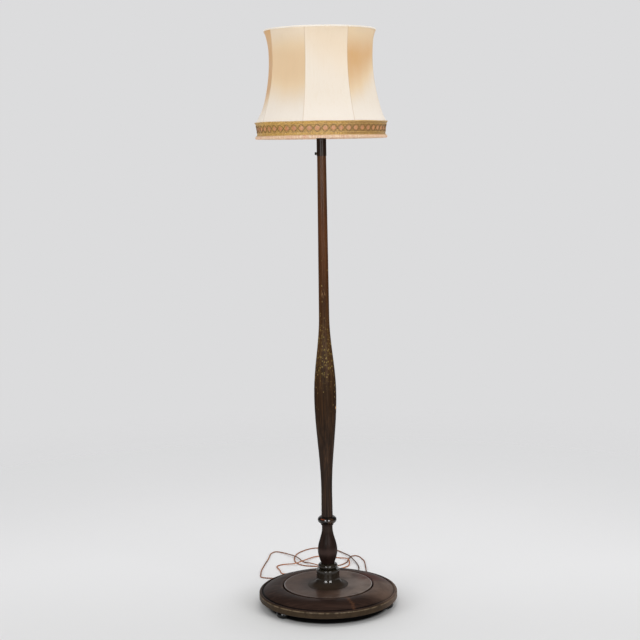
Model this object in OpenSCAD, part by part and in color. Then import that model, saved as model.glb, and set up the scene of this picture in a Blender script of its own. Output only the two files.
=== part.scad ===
// Candlestick floor lamp: a turned wooden stand on three bun feet, a rotary
// switch in a black collar, and a waisted eight-panel fabric shade on wire.
// Sizes are in millimetres. +Z is up and the origin is on the column's axis
// at floor level. The front looks towards -Y and the switch knob is at -X.

/* [Base] */
// Diameter of the round base
base_d = 396; // [360:2:430]
// Height of the base's upright edge
base_edge_h = 20.6; // [17:0.2:24]
// Radius of the half-round bead along the upper edge
bead_r = 4.8; // [3.5:0.1:6]
// Radius at which the sloping flange reaches its ridge
ridge_r = 138; // [133:1:150]
// Height of the ridge over the underside
ridge_h = 36; // [33:0.5:40]
// Radius of the inner dish
dish_r = 126.5; // [110:0.5:130]
// Height of the dish's edge over the underside
dish_h = 37; // [34:0.5:40]
// How far the dish sinks towards the pedestal
dish_depth = 2; // [0:0.25:3]
// Width of the groove round the dish
groove_w = 1.2; // [0.8:0.1:2]
// Radius of the recess under the base
recess_r = 28; // [25:0.5:34]
// Depth of the recess under the base
recess_depth = 24; // [22:0.5:26]

/* [Feet] */
// Diameter of a bun foot
foot_d = 40; // [34:0.5:46]
// Height of a bun foot
foot_h = 21; // [18:0.5:24]
// Distance of each foot from the column's axis
foot_ring_r = 172; // [150:1:174]
// Direction of the first foot, seen from above
foot_angle = -17.2; // [-30:0.1:0]
// Diameter of a foot screw
foot_screw_d = 4; // [3.5:0.1:4.5]
// Length of a foot screw
foot_screw_l = 32; // [28:1:34]

/* [Pedestal] */
// Height of the pedestal over its seat in the dish
pedestal_h = 63.5; // [58:0.5:72]
// Diameter of the pedestal's upright neck
pedestal_d = 66; // [62:0.5:72]
// Radius of the cove between neck and dish
cove_r = 24.5; // [18:0.5:28]
// Diameter of the bead on top of the pedestal
ped_bead_d = 56.4; // [52:0.2:60]
// Height of that bead
ped_bead_h = 15; // [12:0.5:16]

/* [Baluster] */
// Height of the baluster with its ring
baluster_h = 137.5; // [130:0.5:150]
// Diameter of the baluster at its foot
baluster_foot_d = 37; // [34:0.5:42]
// Largest diameter of the baluster's belly
belly_d = 55.8; // [48:0.2:62]
// Height of the widest place of the belly over the baluster's foot
belly_h = 38; // [32:0.5:46]
// Diameter of the baluster's neck
neck_d = 30.3; // [28:0.1:33]
// Height of the start of the neck over the baluster's foot
neck_h = 104; // [96:0.5:108]
// Diameter of the torus ring on top of the baluster
ring_d = 54.2; // [48:0.2:60]
// Height of the torus ring
ring_h = 20; // [16:0.5:22]

/* [Shaft] */
// Length of the shaft between ring and collar
shaft_l = 1020.7; // [900:0.1:1100]
// Diameter of the shaft at its foot
shaft_foot_d = 32.6; // [31:0.1:36]
// Diameter of the shaft under the swelling
shaft_low_d = 31.2; // [30:0.1:35]
// Largest diameter of the swelling
swell_d = 62.8; // [50:0.2:70]
// Height over the shaft's foot where the swelling starts
swell_start = 73; // [60:1:100]
// Height over the shaft's foot where it is widest
swell_peak = 351; // [320:1:380]
// Height over the shaft's foot where it ends
swell_end = 578; // [540:1:620]
// Diameter of the shaft over the swelling
shaft_up_d = 29.2; // [28:0.1:32]
// Diameter of the shaft at the collar
shaft_top_d = 25.2; // [24.6:0.1:27]

/* [Fit of the wooden parts] */
// Diameter of the bore through all the wooden parts
core_d = 10.8; // [10.4:0.1:11.5]
// Diameter of the tenon under the pedestal
ped_tenon_d = 26; // [20:0.5:30]
// Diameter of the tenons of baluster and shaft
tenon_d = 18; // [15:0.5:20]
// Length of the tenons of baluster and shaft
tenon_l = 20; // [14:0.5:24]
// Clearance round and under the tenons
tenon_gap = 0.15; // [0.1:0.05:0.3]

/* [Tie tube] */
// Outer diameter of the threaded tube
tube_d = 10; // [9.8:0.1:10.2]
// Bore of the threaded tube
tube_bore_d = 8; // [7:0.1:8.4]
// Thickness of the washer under the base
washer_t = 1.5; // [1:0.25:2]
// Diameter of the washer under the base
washer_d = 34; // [30:1:40]
// Width across the flats of the nut
nut_flats = 17; // [14:0.5:19]
// Thickness of the nut
nut_t = 5; // [4:0.5:6]
// How far the tube stands out of the nut
tube_end = 1.5; // [1:0.5:2]

/* [Collar and switch] */
// Height of the switch collar
collar_h = 54; // [46:0.5:60]
// Diameter of the switch collar
collar_d = 26.8; // [26:0.1:30]
// Wall of the switch collar
collar_wall = 1.9; // [1.5:0.1:2.1]
// Thickness of the collar's top
collar_top_t = 3; // [2:0.25:4]
// Length of the collar base's spigot in the shaft
spigot_l = 16; // [12:0.5:20]
// Diameter of the spigot
spigot_d = 16; // [14:0.5:18]
// Height of the switch's axis over the collar's foot
knob_h = 6.6; // [6.4:0.1:10]
// Diameter of the switch knob
knob_d = 8.3; // [7:0.1:9]
// Length of the switch knob
knob_l = 5; // [4:0.25:7]
// Diameter of the switch spindle
spindle_d = 2.4; // [2:0.1:2.6]
// Radial clearance of the spindle
spindle_gap = 0.05; // [0.02:0.01:0.08]

/* [Lampholder] */
// Outer diameter of the lampholder
holder_d = 39; // [38:0.5:40]
// Height of the lampholder's cap
holder_cap_h = 22; // [20:0.5:25]
// Height of the lampholder's shell
holder_shell_h = 40; // [36:0.5:44]
// Diameter of the two shade rings
shade_ring_d = 56; // [50:0.5:58]
// Height of a shade ring
shade_ring_h = 6.5; // [5:0.5:7]
// Height of the shade's fitter over the shell's foot
fitter_h = 22.5; // [16:0.5:24]

/* [Bulb] */
// Diameter of the bulb's glass
bulb_d = 60; // [45:1:68]
// Height of the glass over its screw cap
bulb_h = 84; // [78:1:95]
// Diameter of the bulb's screw cap
bulb_cap_d = 26.4; // [26:0.1:26.6]
// Height of the bulb's screw cap
bulb_cap_h = 25; // [24:0.5:27]

/* [Shade] */
// Radius of the cover at the upper edge, over a rib
top_r = 153; // [140:0.5:165]
// Radius of the cover at the waist, over a rib
waist_r = 147; // [130:0.5:152]
// Radius of the cover at the top of the braid band
band_r = 181; // [165:0.5:190]
// Radius of the cover at the lower edge
hem_r = 178.6; // [165:0.5:190]
// Height of the panels between braid band and upper edge
panel_h = 250.5; // [200:0.5:280]
// Height of the waist over the braid band
waist_h = 170.5; // [150:0.5:190]
// Height of the braid band
band_h = 44.5; // [36:0.5:50]
// How far the braid band is drawn in at half its height
band_waist = 5; // [0:0.25:7]
// Flatness of the panels at their middle, from round to plane
panel_flat = 0.95; // [0:0.05:1]
// Direction of the first rib, seen from above
rib_angle = 29.4; // [0:0.1:45]
// Number of panels
panels = 8; // [6:1:10]
// Thickness of the outer cover
cover_t = 0.6; // [0.5:0.05:0.8]
// Thickness of the lining
lining_t = 0.5; // [0.4:0.05:0.7]
// Thickness of the braid
braid_t = 1.2; // [0.8:0.1:1.8]
// Height of the binding at the upper edge
top_fold = 6; // [5:0.5:9]
// Height of the binding at the lower edge
hem_fold = 7.5; // [6:0.5:9]
// Thickness of the bindings at both edges
binding_t = 0.8; // [0.6:0.1:1.2]

/* [Wire frame] */
// Diameter of the ring wire
ring_wire_d = 2.5; // [2:0.1:2.8]
// Diameter of the rib wire
rib_wire_d = 2.2; // [1.8:0.1:2.4]
// Diameter of the three arms
arm_wire_d = 3; // [2.5:0.1:3.2]
// Outer diameter of the fitter ring
fitter_d = 60; // [58:0.5:66]
// Thickness of the fitter ring
fitter_t = 1.4; // [1:0.1:1.8]
// Height of the fitter over the braid band's upper ring
fitter_rise = 7.4; // [4:0.1:12]
// Gap between the turning shade and its two shade rings
swivel_gap = 0.2; // [0.1:0.05:0.3]

/* [Flex and plug] */
// Diameter of the twisted flex
flex_d = 3.8; // [3.2:0.1:3.8]
// Distance of the saddle clip from the column's axis
clip_r = 150; // [130:1:155]
// Width of the saddle clip
clip_w = 10; // [8:0.5:12]
// Thickness of the plug's body
plug_t = 13.8; // [13:0.1:14.5]
// Width of the plug's body
plug_w = 35; // [33:0.5:37]
// Length of the plug's body
plug_l = 36; // [34:0.5:40]
// Length of the plug's tapered neck
plug_neck_l = 22; // [20:0.5:24]
// Diameter of a plug pin
pin_d = 4; // [3.9:0.05:4.1]
// Length of a plug pin outside the body
pin_l = 19; // [18:0.5:20]
// Distance between the plug's pins
pin_gap = 18.6; // [17:0.1:19.2]

/* [Hidden] */
$fn = 96;
eps = 0.01;

// Heights of the stack, from the floor up
edge_z = foot_h + base_edge_h;
seat_z = foot_h + dish_h - dish_depth;
recess_z = foot_h + recess_depth;
ped_top_z = seat_z + pedestal_h;
baluster_top_z = ped_top_z + baluster_h;
shaft_top_z = baluster_top_z + shaft_l;
collar_top_z = shaft_top_z + collar_h;
shell_z = collar_top_z + holder_cap_h;
shell_top_z = shell_z + holder_shell_h;
fitter_z = shell_z + fitter_h;
band_z = fitter_z + fitter_t / 2 - fitter_rise;
hem_z = band_z - band_h;
top_z = band_z + panel_h;
waist_z = band_z + waist_h;
tube_low_z = recess_z - washer_t - nut_t - tube_end;
tube_top_z = shaft_top_z - 4;
knob_z = shaft_top_z + knob_h;

// Flex inside the base: it lies in a channel that is just deeper than itself
flex_r = flex_d / 2;
flex_gap = 0.1;
channel_z = foot_h + flex_gap + flex_r;
flex_dir = atan2(4, 3);
flex_bend = tube_low_z - channel_z;
channel_end = clip_r + 28;
flex_exit_r = clip_r + clip_w / 2;

// Shade: it is round again from the lower side of the upper binding
flat_top_z = top_z - top_fold - 0.5;
segs = 5;
turns = panels * segs;
half_panel = 180 / panels;
facet_sag = 1 - cos(180 / turns);
lining_in = cover_t + band_r * facet_sag + ring_wire_d + 0.7;
rib_gap = 0.2;
rib_in = cover_t + rib_gap + rib_wire_d / 2;
edge_ring_in = cover_t + band_r * facet_sag + 0.05 + ring_wire_d / 2;
band_ring_r = band_r - rib_in - rib_wire_d / 2 - 0.05 - ring_wire_d / 2;
top_ring_z = top_z - binding_t - 0.6 - ring_wire_d / 2;
hem_ring_z = hem_z + binding_t + 0.6 + ring_wire_d / 2;

// Colours as seen on the lamp
wood_red = [0.35, 0.22, 0.14];
wood_dark = [0.24, 0.18, 0.15];
black = [0.05, 0.05, 0.05];
steel = [0.62, 0.62, 0.60];
brass = [0.78, 0.62, 0.30];
silk = [0.95, 0.89, 0.80];
peach = [0.91, 0.76, 0.62];
gold = [0.78, 0.62, 0.27];
copper_brown = [0.70, 0.42, 0.26];

// Points of an arc round c from angle a0 to a1, in n steps
function arc(c, r, a0, a1, n) =
    [for (i = [0:n]) let (a = a0 + (a1 - a0) * i / n) c + r * [cos(a), sin(a)]];

// Smooth S-shaped blend from a to b for t from 0 to 1
function blend(a, b, t) = a + (b - a) * (1 - cos(180 * t)) / 2;

// Two-dimensional outline turned round Z, with a bore through it
module turned(outline, bore_r) {
    rotate_extrude()
        difference() {
            polygon(outline);
            if (bore_r > 0)
                translate([-eps, -eps])
                    square([bore_r + eps, shaft_top_z + shaft_l]);
        }
}

// Plain round piece from z0 to z1 with an optional bore
module ring(r, bore_r, z0, z1) {
    translate([0, 0, z0])
        difference() {
            cylinder(r = r, h = z1 - z0);
            if (bore_r > 0)
                translate([0, 0, -eps])
                    cylinder(r = bore_r, h = z1 - z0 + 2 * eps);
        }
}

// ---- Tubes swept along points -------------------------------------------

function unit(v) = v / norm(v);

// Direction of the path at point i
function heading(p, i) = unit(p[min(i + 1, len(p) - 1)] - p[max(i - 1, 0)]);

// Ring of the tube at point i; ref is never along the path
function tube_ring(p, i, r, sides, ref) =
    let (d = heading(p, i), u = unit(cross(d, ref)), v = cross(u, d))
    [for (k = [0:sides - 1]) let (a = 360 * (k + 0.5) / sides) p[i] + r * (cos(a) * u + sin(a) * v)];

module tube(p, r, sides, ref) {
    n = len(p);
    points = [for (i = [0:n - 1]) each tube_ring(p, i, r, sides, ref)];
    sides_faces = [for (i = [0:n - 2], k = [0:sides - 1])
        let (a = i * sides + k, b = i * sides + (k + 1) % sides)
        each [[a, a + sides, b + sides], [a, b + sides, b]]];
    caps = [for (k = [1:sides - 2])
        each [[0, k, k + 1], [(n - 1) * sides, (n - 1) * sides + k + 1, (n - 1) * sides + k]]];
    polyhedron(points, concat(sides_faces, caps));
}

// Smooth curve through the points p, with steps pieces between two of them
function curve_at(a, b, c, d, t) =
    0.5 * (2 * b + (c - a) * t + (2 * a - 5 * b + 4 * c - d) * t * t
    + (3 * b - a - 3 * c + d) * t * t * t);

function curve(p, steps) = concat([for (i = [0:len(p) - 2], j = [0:steps - 1])
    curve_at(p[max(i - 1, 0)], p[i], p[i + 1], p[min(i + 2, len(p) - 1)], j / steps)],
    [p[len(p) - 1]]);

// ---- Base ------------------------------------------------------------------

// The flange is an arc that is level at the ridge and ends beside the bead
flange_end_r = base_d / 2 - 2 * bead_r - 0.3;
flange_drop = foot_h + ridge_h - edge_z + 1.8;
flange_run = flange_end_r - ridge_r;
flange_arc_r = (flange_run * flange_run + flange_drop * flange_drop) / (2 * flange_drop);
flange_arc_c = [ridge_r, foot_h + ridge_h - flange_arc_r];
flange_end_a = 90 - asin(flange_run / flange_arc_r);
groove_depth = 7;
lower_edge = 2;
ridge_round = min(7, ridge_r - dish_r - groove_w);

cove_foot_r = pedestal_d / 2 + cove_r;

base_outline = concat(
    [[0, foot_h], [base_d / 2 - lower_edge, foot_h], [base_d / 2, foot_h + lower_edge]],
    arc([base_d / 2 - bead_r, edge_z - bead_r], bead_r, 0, 180, 12),
    [[flange_end_r, edge_z - bead_r]],
    arc(flange_arc_c, flange_arc_r, flange_end_a, 90, 14),
    arc([dish_r + groove_w + ridge_round, foot_h + ridge_h - ridge_round], ridge_round, 90, 180, 6),
    [[dish_r + groove_w, foot_h + ridge_h - groove_depth - 1], [dish_r, foot_h + dish_h - groove_depth - 1]],
    arc([dish_r - 1.5, foot_h + dish_h - 1.5], 1.5, 0, 90, 4),
    [for (i = [1:8]) let (t = i / 8)
        [(dish_r - 1.5) * (1 - t) + cove_foot_r * t, blend(foot_h + dish_h, seat_z, t)]],
    [[0, seat_z]]);

foot_names = ["foot_right", "foot_rear", "foot_left"];

function foot_at(i) = foot_ring_r * [cos(foot_angle + 120 * i), sin(foot_angle + 120 * i)];

foot_bore_d = foot_screw_d + 0.4;
screw_head_d = 8.4;
screw_head_z = 5;
screw_sink_d = 9.4;

module base_plate() {
    color(wood_dark)
        difference() {
            turned(base_outline, ped_tenon_d / 2 + tenon_gap);
            translate([0, 0, foot_h - 1])
                cylinder(r = recess_r, h = recess_depth + 1);
            rotate([0, 0, flex_dir])
                translate([0, -flex_r - 0.3, foot_h - 1])
                    cube([channel_end, flex_d + 0.6, flex_d + 2 * flex_gap + 1]);
            for (i = [0:2])
                translate([foot_at(i)[0], foot_at(i)[1], foot_h - 1])
                    cylinder(d = foot_screw_d + 0.1, h = screw_head_z + foot_screw_l - foot_h + 2);
            for (s = [-1, 1])
                clip_screw_place(s)
                    translate([0, 0, foot_h - 1])
                        cylinder(d = clip_screw_d + 0.1, h = clip_screw_l);
        }
}

// Bun foot: flat above and below, with a round side
module foot(i) {
    side_r = foot_h / 2;
    color(black)
        translate([foot_at(i)[0], foot_at(i)[1], 0])
            rotate_extrude()
                difference() {
                    union() {
                        square([foot_d / 2 - side_r, foot_h]);
                        translate([foot_d / 2 - side_r, side_r])
                            intersection() {
                                circle(r = side_r);
                                translate([0, -side_r])
                                    square([side_r, foot_h]);
                            }
                    }
                    translate([-eps, -eps])
                        square([foot_bore_d / 2, foot_h + 1]);
                    translate([-eps, -eps])
                        square([screw_sink_d / 2, screw_head_z + 2 * eps]);
                }
}

module foot_screws() {
    color(steel)
        for (i = [0:2])
            translate([foot_at(i)[0], foot_at(i)[1], screw_head_z]) {
                translate([0, 0, -2.4])
                    difference() {
                        cylinder(d1 = screw_head_d, d2 = screw_head_d - 1, h = 2.4);
                        translate([-screw_head_d / 2, -0.6, -1])
                            cube([screw_head_d, 1.2, 2]);
                    }
                cylinder(d = foot_screw_d, h = foot_screw_l - 4);
                translate([0, 0, foot_screw_l - 4])
                    cylinder(d1 = foot_screw_d, d2 = 0.6, h = 4);
            }
}

// ---- Turned column -----------------------------------------------------------

shoulder = 3;
bead_half = ped_bead_h / 2;
bead_c = [ped_bead_d / 2 - bead_half, ped_top_z - bead_half];
tenon_depth = tenon_l + 0.5;

pedestal_outline = concat(
    [[0, recess_z], [ped_tenon_d / 2, recess_z], [ped_tenon_d / 2, seat_z], [cove_foot_r, seat_z],
     [cove_foot_r, seat_z + 0.8]],
    arc([cove_foot_r, seat_z + 0.8 + cove_r], cove_r, 270, 180, 14),
    arc([pedestal_d / 2 - shoulder, ped_top_z - ped_bead_h - shoulder - 1.2], shoulder, 0, 90, 6),
    [[ped_bead_d / 2 - 1.6, ped_top_z - ped_bead_h - 1.2], [bead_c[0], ped_top_z - ped_bead_h]],
    arc(bead_c, bead_half, -80, 90, 16),
    [[0, ped_top_z]]);

module pedestal() {
    color(wood_dark)
        difference() {
            turned(pedestal_outline, core_d / 2);
            translate([0, 0, ped_top_z - tenon_depth])
                cylinder(d = tenon_d + 2 * tenon_gap, h = tenon_depth + 1);
        }
}

ring_half = ring_h / 2;
ring_c = [ring_d / 2 - ring_half, baluster_top_z - ring_half];
fillet_d = neck_d + 4;
fillet_h = 6;

baluster_outline = concat(
    [[0, ped_top_z - tenon_l], [tenon_d / 2, ped_top_z - tenon_l], [tenon_d / 2, ped_top_z]],
    [for (i = [0:10]) let (t = i / 10)
        [baluster_foot_d / 2 + (belly_d - baluster_foot_d) / 2 * sin(90 * t), ped_top_z + belly_h * t]],
    [for (i = [1:16]) let (t = i / 16)
        [blend(belly_d, neck_d, t) / 2, ped_top_z + belly_h + (neck_h - belly_h) * t]],
    [[neck_d / 2, baluster_top_z - ring_h - fillet_h]],
    arc([neck_d / 2, baluster_top_z - ring_h - fillet_h / 2], fillet_h / 2, -60, 60, 6),
    arc(ring_c, ring_half, -80, 80, 18),
    [[ring_c[0], baluster_top_z], [0, baluster_top_z]]);

module baluster() {
    color(wood_dark)
        difference() {
            turned(baluster_outline, core_d / 2);
            translate([0, 0, baluster_top_z - tenon_depth])
                cylinder(d = tenon_d + 2 * tenon_gap, h = tenon_depth + 1);
        }
}

// Half diameter of the shaft at height h over its foot
function shaft_r(h) =
    h < swell_start ? (shaft_foot_d + (shaft_low_d - shaft_foot_d) * sin(90 * h / swell_start)) / 2
    : h < swell_peak ? blend(shaft_low_d, swell_d, (h - swell_start) / (swell_peak - swell_start)) / 2
    : h < swell_end ? blend(swell_d, shaft_up_d, (h - swell_peak) / (swell_end - swell_peak)) / 2
    : (shaft_up_d + (shaft_top_d - shaft_up_d) * (h - swell_end) / (shaft_l - swell_end)) / 2;

shaft_steps = [for (i = [0:3]) swell_start * i / 4,
    for (i = [0:23]) swell_start + (swell_end - swell_start) * i / 24,
    swell_end, shaft_l];

shaft_outline = concat(
    [[0, baluster_top_z - tenon_l], [tenon_d / 2, baluster_top_z - tenon_l], [tenon_d / 2, baluster_top_z]],
    [for (h = shaft_steps) [shaft_r(h), baluster_top_z + h]],
    [[0, shaft_top_z]]);

module shaft() {
    color(wood_red)
        difference() {
            turned(shaft_outline, core_d / 2);
            translate([0, 0, shaft_top_z - spigot_l - 0.5])
                cylinder(d = spigot_d + 2 * tenon_gap, h = spigot_l + 1);
        }
}

// ---- Tie tube and its fastening -------------------------------------------

module tie_tube() {
    color(steel)
        ring(tube_d / 2, tube_bore_d / 2, tube_low_z, tube_top_z);
}

module base_washer() {
    color(steel)
        ring(washer_d / 2, tube_d / 2 + 0.2, recess_z - washer_t, recess_z);
}

module base_nut() {
    color(steel)
        translate([0, 0, recess_z - washer_t - nut_t])
            difference() {
                cylinder(d = nut_flats / cos(30), h = nut_t, $fn = 6);
                translate([0, 0, -1])
                    cylinder(d = tube_d + 0.04, h = nut_t + 2);
            }
}

// ---- Flex inside the stand -------------------------------------------------

clip_screw_d = 3;
clip_screw_l = 12;
clip_span = 24;
clip_t = 1.5;

module clip_screw_place(s) {
    rotate([0, 0, flex_dir])
        translate([clip_r, s * clip_span / 2, 0])
            children();
}

module flex_clip() {
    color(steel)
        difference() {
            rotate([0, 0, flex_dir])
                translate([clip_r - clip_w / 2, -clip_span / 2, foot_h - clip_t]) {
                    cube([clip_w, clip_span, clip_t]);
                    for (s = [0, clip_span])
                        translate([clip_w / 2, s, 0])
                            cylinder(d = clip_w, h = clip_t);
                }
            for (s = [-1, 1])
                clip_screw_place(s)
                    translate([0, 0, foot_h - clip_t - 1])
                        cylinder(d = clip_screw_d + 0.3, h = clip_t + 2);
        }
}

module clip_screws() {
    color(steel)
        for (s = [-1, 1])
            clip_screw_place(s)
                translate([0, 0, foot_h - clip_t]) {
                    cylinder(d = clip_screw_d, h = clip_screw_l - 1);
                    translate([0, 0, -1.8])
                        difference() {
                            cylinder(d1 = 4, d2 = 6, h = 1.8);
                            translate([-3, -0.4, -1])
                                cube([6, 0.8, 1.8]);
                        }
                }
}

// Up the tube and collar to the lampholder, and along the channel to the clip
module inner_flex() {
    color(copper_brown) {
        translate([0, 0, tube_low_z])
            cylinder(d = flex_d, h = insert_z - tube_low_z);
        rotate([0, 0, flex_dir]) {
            translate([flex_bend, 0, tube_low_z])
                rotate([90, 0, 0])
                    rotate([0, 0, 180])
                        rotate_extrude(angle = 90)
                            translate([flex_bend, 0])
                                circle(d = flex_d);
            translate([flex_bend, 0, channel_z])
                rotate([0, 90, 0])
                    cylinder(d = flex_d, h = flex_exit_r - flex_bend);
        }
    }
}

// ---- Collar and switch -----------------------------------------------------

thread_r = tube_d / 2 + 0.03;
collar_in_r = collar_d / 2 - collar_wall;
collar_floor_t = 1.6;

// Disc on top of the shaft whose spigot takes the tie tube
module collar_base() {
    color(black)
        difference() {
            union() {
                translate([0, 0, shaft_top_z - spigot_l])
                    cylinder(d = spigot_d, h = spigot_l + eps);
                translate([0, 0, shaft_top_z])
                    cylinder(r = collar_in_r - 0.1, h = collar_floor_t);
            }
            translate([0, 0, shaft_top_z - spigot_l - 1])
                cylinder(r = thread_r, h = tube_top_z - shaft_top_z + spigot_l + 1.5);
            translate([0, 0, shaft_top_z - spigot_l - 1])
                cylinder(d = flex_d + 1.2, h = spigot_l + 5);
        }
}

nut_seat = collar_d / 2 - 0.6;
bush_r = 2.4;
bush_hole_r = bush_r + 0.1;
switch_nut_r = 3.8;
switch_nut_t = 1;

module collar_outline() {
    round_r = 1.5;
    difference() {
        hull() {
            square([collar_d / 2 - round_r, collar_h]);
            square([collar_d / 2, collar_h - round_r]);
            translate([collar_d / 2 - round_r, collar_h - round_r])
                circle(r = round_r, $fn = 32);
        }
        translate([-1, -1])
            square([collar_in_r + 1, collar_h - collar_top_t + 1]);
        translate([-1, -1])
            square([thread_r + 1, collar_h + 2]);
    }
}

module switch_collar() {
    color(black)
        difference() {
            translate([0, 0, shaft_top_z])
                rotate_extrude()
                    collar_outline();
            translate([0, 0, knob_z])
                rotate([0, -90, 0]) {
                    cylinder(r = bush_hole_r, h = collar_d);
                    translate([0, 0, nut_seat])
                        cylinder(r = switch_nut_r + 0.3, h = collar_d);
                }
        }
}

switch_back = flex_r + 0.3;
switch_front = collar_in_r - 1.1;
switch_half = 4.6;
chamber_r = 3.4;
chamber_l = 4;
chamber_x = switch_front - 0.8 - chamber_l;

module switch_body() {
    color([0.22, 0.20, 0.18])
        translate([0, 0, knob_z])
            rotate([0, -90, 0])
                difference() {
                    union() {
                        translate([-switch_half, -switch_half, switch_back])
                            cube([2 * switch_half, 2 * switch_half, switch_front - switch_back]);
                        cylinder_from(bush_r, switch_front - 1, nut_seat + switch_nut_t);
                    }
                    cylinder_from(chamber_r, chamber_x, chamber_x + chamber_l);
                    cylinder_from(spindle_d / 2 + spindle_gap, chamber_x + chamber_l - 1, collar_d);
                }
}

// Cylinder along the present Z from a to b
module cylinder_from(r, a, b) {
    translate([0, 0, a])
        cylinder(r = r, h = b - a);
}

module switch_nut() {
    color(black)
        translate([0, 0, knob_z])
            rotate([0, -90, 0])
                difference() {
                    cylinder_from(switch_nut_r, nut_seat, nut_seat + switch_nut_t - 0.1);
                    cylinder_from(bush_r + 0.03, nut_seat - 1, nut_seat + 3);
                }
}

wire_r = 0.8;
wire_top = 1.5;
wire_loop = 4;

// Two thin wires rise from the switch and bend into the flex
module switch_wires() {
    wire_x = flex_r + wire_r + 0.1 + wire_loop;
    color(copper_brown)
        for (s = [-1, 1])
            translate([0, s * 1.6, knob_z + switch_half]) {
                translate([-wire_x, 0, 0])
                    cylinder(r = wire_r, h = wire_top);
                translate([-wire_x + wire_loop, 0, wire_top])
                    rotate([90, 0, 0])
                        rotate([0, 0, 90])
                            rotate_extrude(angle = 90)
                                translate([wire_loop, 0])
                                    circle(r = wire_r);
            }
}

rotor_r = chamber_r - 0.3;
rotor_l = chamber_l - 0.6;
knob_x = nut_seat + switch_nut_t + 0.2;
knob_sink = knob_l - 1.5;

// Spindle with the four-notched rotor that makes and breaks the contact
module switch_spindle() {
    color(brass)
        translate([0, 0, knob_z])
            rotate([0, -90, 0])
                difference() {
                    union() {
                        cylinder_from(spindle_d / 2, chamber_x + 0.3, knob_x + knob_sink);
                        cylinder_from(rotor_r, chamber_x + 0.3, chamber_x + 0.3 + rotor_l);
                    }
                    for (a = [0:90:270])
                        rotate([0, 0, a])
                            translate([rotor_r, 0, 0])
                                cylinder_from(0.9, chamber_x, chamber_x + chamber_l);
                }
}

module switch_knob() {
    flutes = 10;
    color(black)
        translate([0, 0, knob_z])
            rotate([0, -90, 0])
                difference() {
                    union() {
                        cylinder_from(knob_d / 2, knob_x, knob_x + knob_l - 1);
                        cylinder_from(knob_d / 2 - 0.8, knob_x, knob_x + knob_l);
                    }
                    cylinder_from(spindle_d / 2 + 0.02, knob_x - 1, knob_x + knob_sink + 0.1);
                    for (i = [0:flutes - 1])
                        rotate([0, 0, 360 * i / flutes])
                            translate([knob_d / 2 + 0.25, 0, 0])
                                cylinder_from(0.7, knob_x - 1, knob_x + knob_l + 1);
                }
}

// ---- Lampholder ------------------------------------------------------------

nipple_reach = 9;
holder_r = holder_d / 2;
insert_z = shell_z + 0.2;
insert_t = 14;
insert_r = 17.2;
ledge_r = 15.4;
sleeve_z = insert_z + insert_t + 2;
sleeve_r = bulb_cap_d / 2 + 1.3;
contact_z = insert_z + insert_t + 4;

module top_nipple() {
    color(brass)
        ring(tube_d / 2, tube_bore_d / 2, collar_top_z - nipple_reach, collar_top_z + nipple_reach);
}

cap_wall = 2;
cap_boss_h = 6;
cap_boss_r = 9;
cap_dome_h = holder_cap_h - cap_boss_h - 5;

module lampholder_cap() {
    dome = concat(
        [[thread_r, 0], [cap_boss_r, 0], [cap_boss_r, cap_boss_h]],
        [for (i = [0:8]) let (t = i / 8)
            [cap_boss_r + (holder_r - cap_boss_r) * sin(90 * t),
                cap_boss_h + cap_dome_h * (1 - cos(90 * t))]],
        [[holder_r, holder_cap_h], [ledge_r, holder_cap_h], [ledge_r, holder_cap_h - 6]],
        [[cap_boss_r - cap_wall + 1, cap_boss_h + 2.5], [thread_r, cap_boss_h + 2.5]]);
    color(black)
        translate([0, 0, collar_top_z])
            rotate_extrude()
                polygon(dome);
}

screw_x = 10.5;

module lampholder_insert() {
    color([0.86, 0.83, 0.76])
        difference() {
            union() {
                ring(insert_r, 0, insert_z, insert_z + insert_t);
                ring(9, 0, insert_z + insert_t - eps, insert_z + insert_t + 2);
            }
            for (s = [-1, 1])
                translate([s * screw_x, 0, insert_z - 1])
                    cylinder(r = 1.3, h = 7);
        }
}

module terminal_screws() {
    color(brass)
        for (s = [-1, 1])
            translate([s * screw_x, 0, insert_z]) {
                cylinder(r = 1.25, h = 5.5);
                translate([0, 0, -1.6])
                    difference() {
                        cylinder(r = 2.2, h = 1.6);
                        translate([-3, -0.35, -1])
                            cube([6, 0.7, 1.7]);
                    }
            }
}

// Springy tongue under the bulb's tip
module centre_contact() {
    tongue = [[-7, 0], [3.6, 0], [4.4, 0.4], [4.4, 1.2], [3.4, 2], [-2, 2], [-2, 1.6], [3, 1.6],
        [3.6, 1.1], [3, 0.5], [-7, 0.5]];
    color(brass)
        translate([0, 0, insert_z + insert_t + 2])
            rotate([90, 0, 0])
                translate([0, 0, -2])
                    linear_extrude(4)
                        polygon(tongue);
}

module screw_sleeve() {
    color(brass)
        ring(sleeve_r, sleeve_r - 0.8, sleeve_z - 2, shell_top_z - 3);
}

module lampholder_shell() {
    color(black)
        rotate_extrude()
            difference() {
                translate([sleeve_r + 0.1, shell_z])
                    square([holder_r - sleeve_r - 0.1, holder_shell_h]);
                translate([0, shell_z - 1])
                    square([insert_r + 0.1, insert_t + 1.2]);
                for (i = [0:7])
                    translate([holder_r + 0.35, shell_z + 7 + i * 4])
                        circle(r = 1);
            }
}

shade_ring_bore = holder_r + 0.03;

// Threaded ring with a notched edge
module shade_ring(z0) {
    notches = 24;
    color(black)
        difference() {
            ring(shade_ring_d / 2, shade_ring_bore, z0, z0 + shade_ring_h);
            for (i = [0:notches - 1])
                rotate([0, 0, 360 * i / notches])
                    translate([shade_ring_d / 2 + 0.9, 0, z0 - 1])
                        cylinder(r = 1.8, h = shade_ring_h + 2, $fn = 24);
        }
}

// ---- Bulb ------------------------------------------------------------------

bulb_low_z = contact_z + 0.1;
glass_z = bulb_low_z + bulb_cap_h;
globe_z = glass_z + bulb_h - bulb_d / 2;
neck_r = bulb_cap_d / 2;
glass_t = 0.8;

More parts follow.
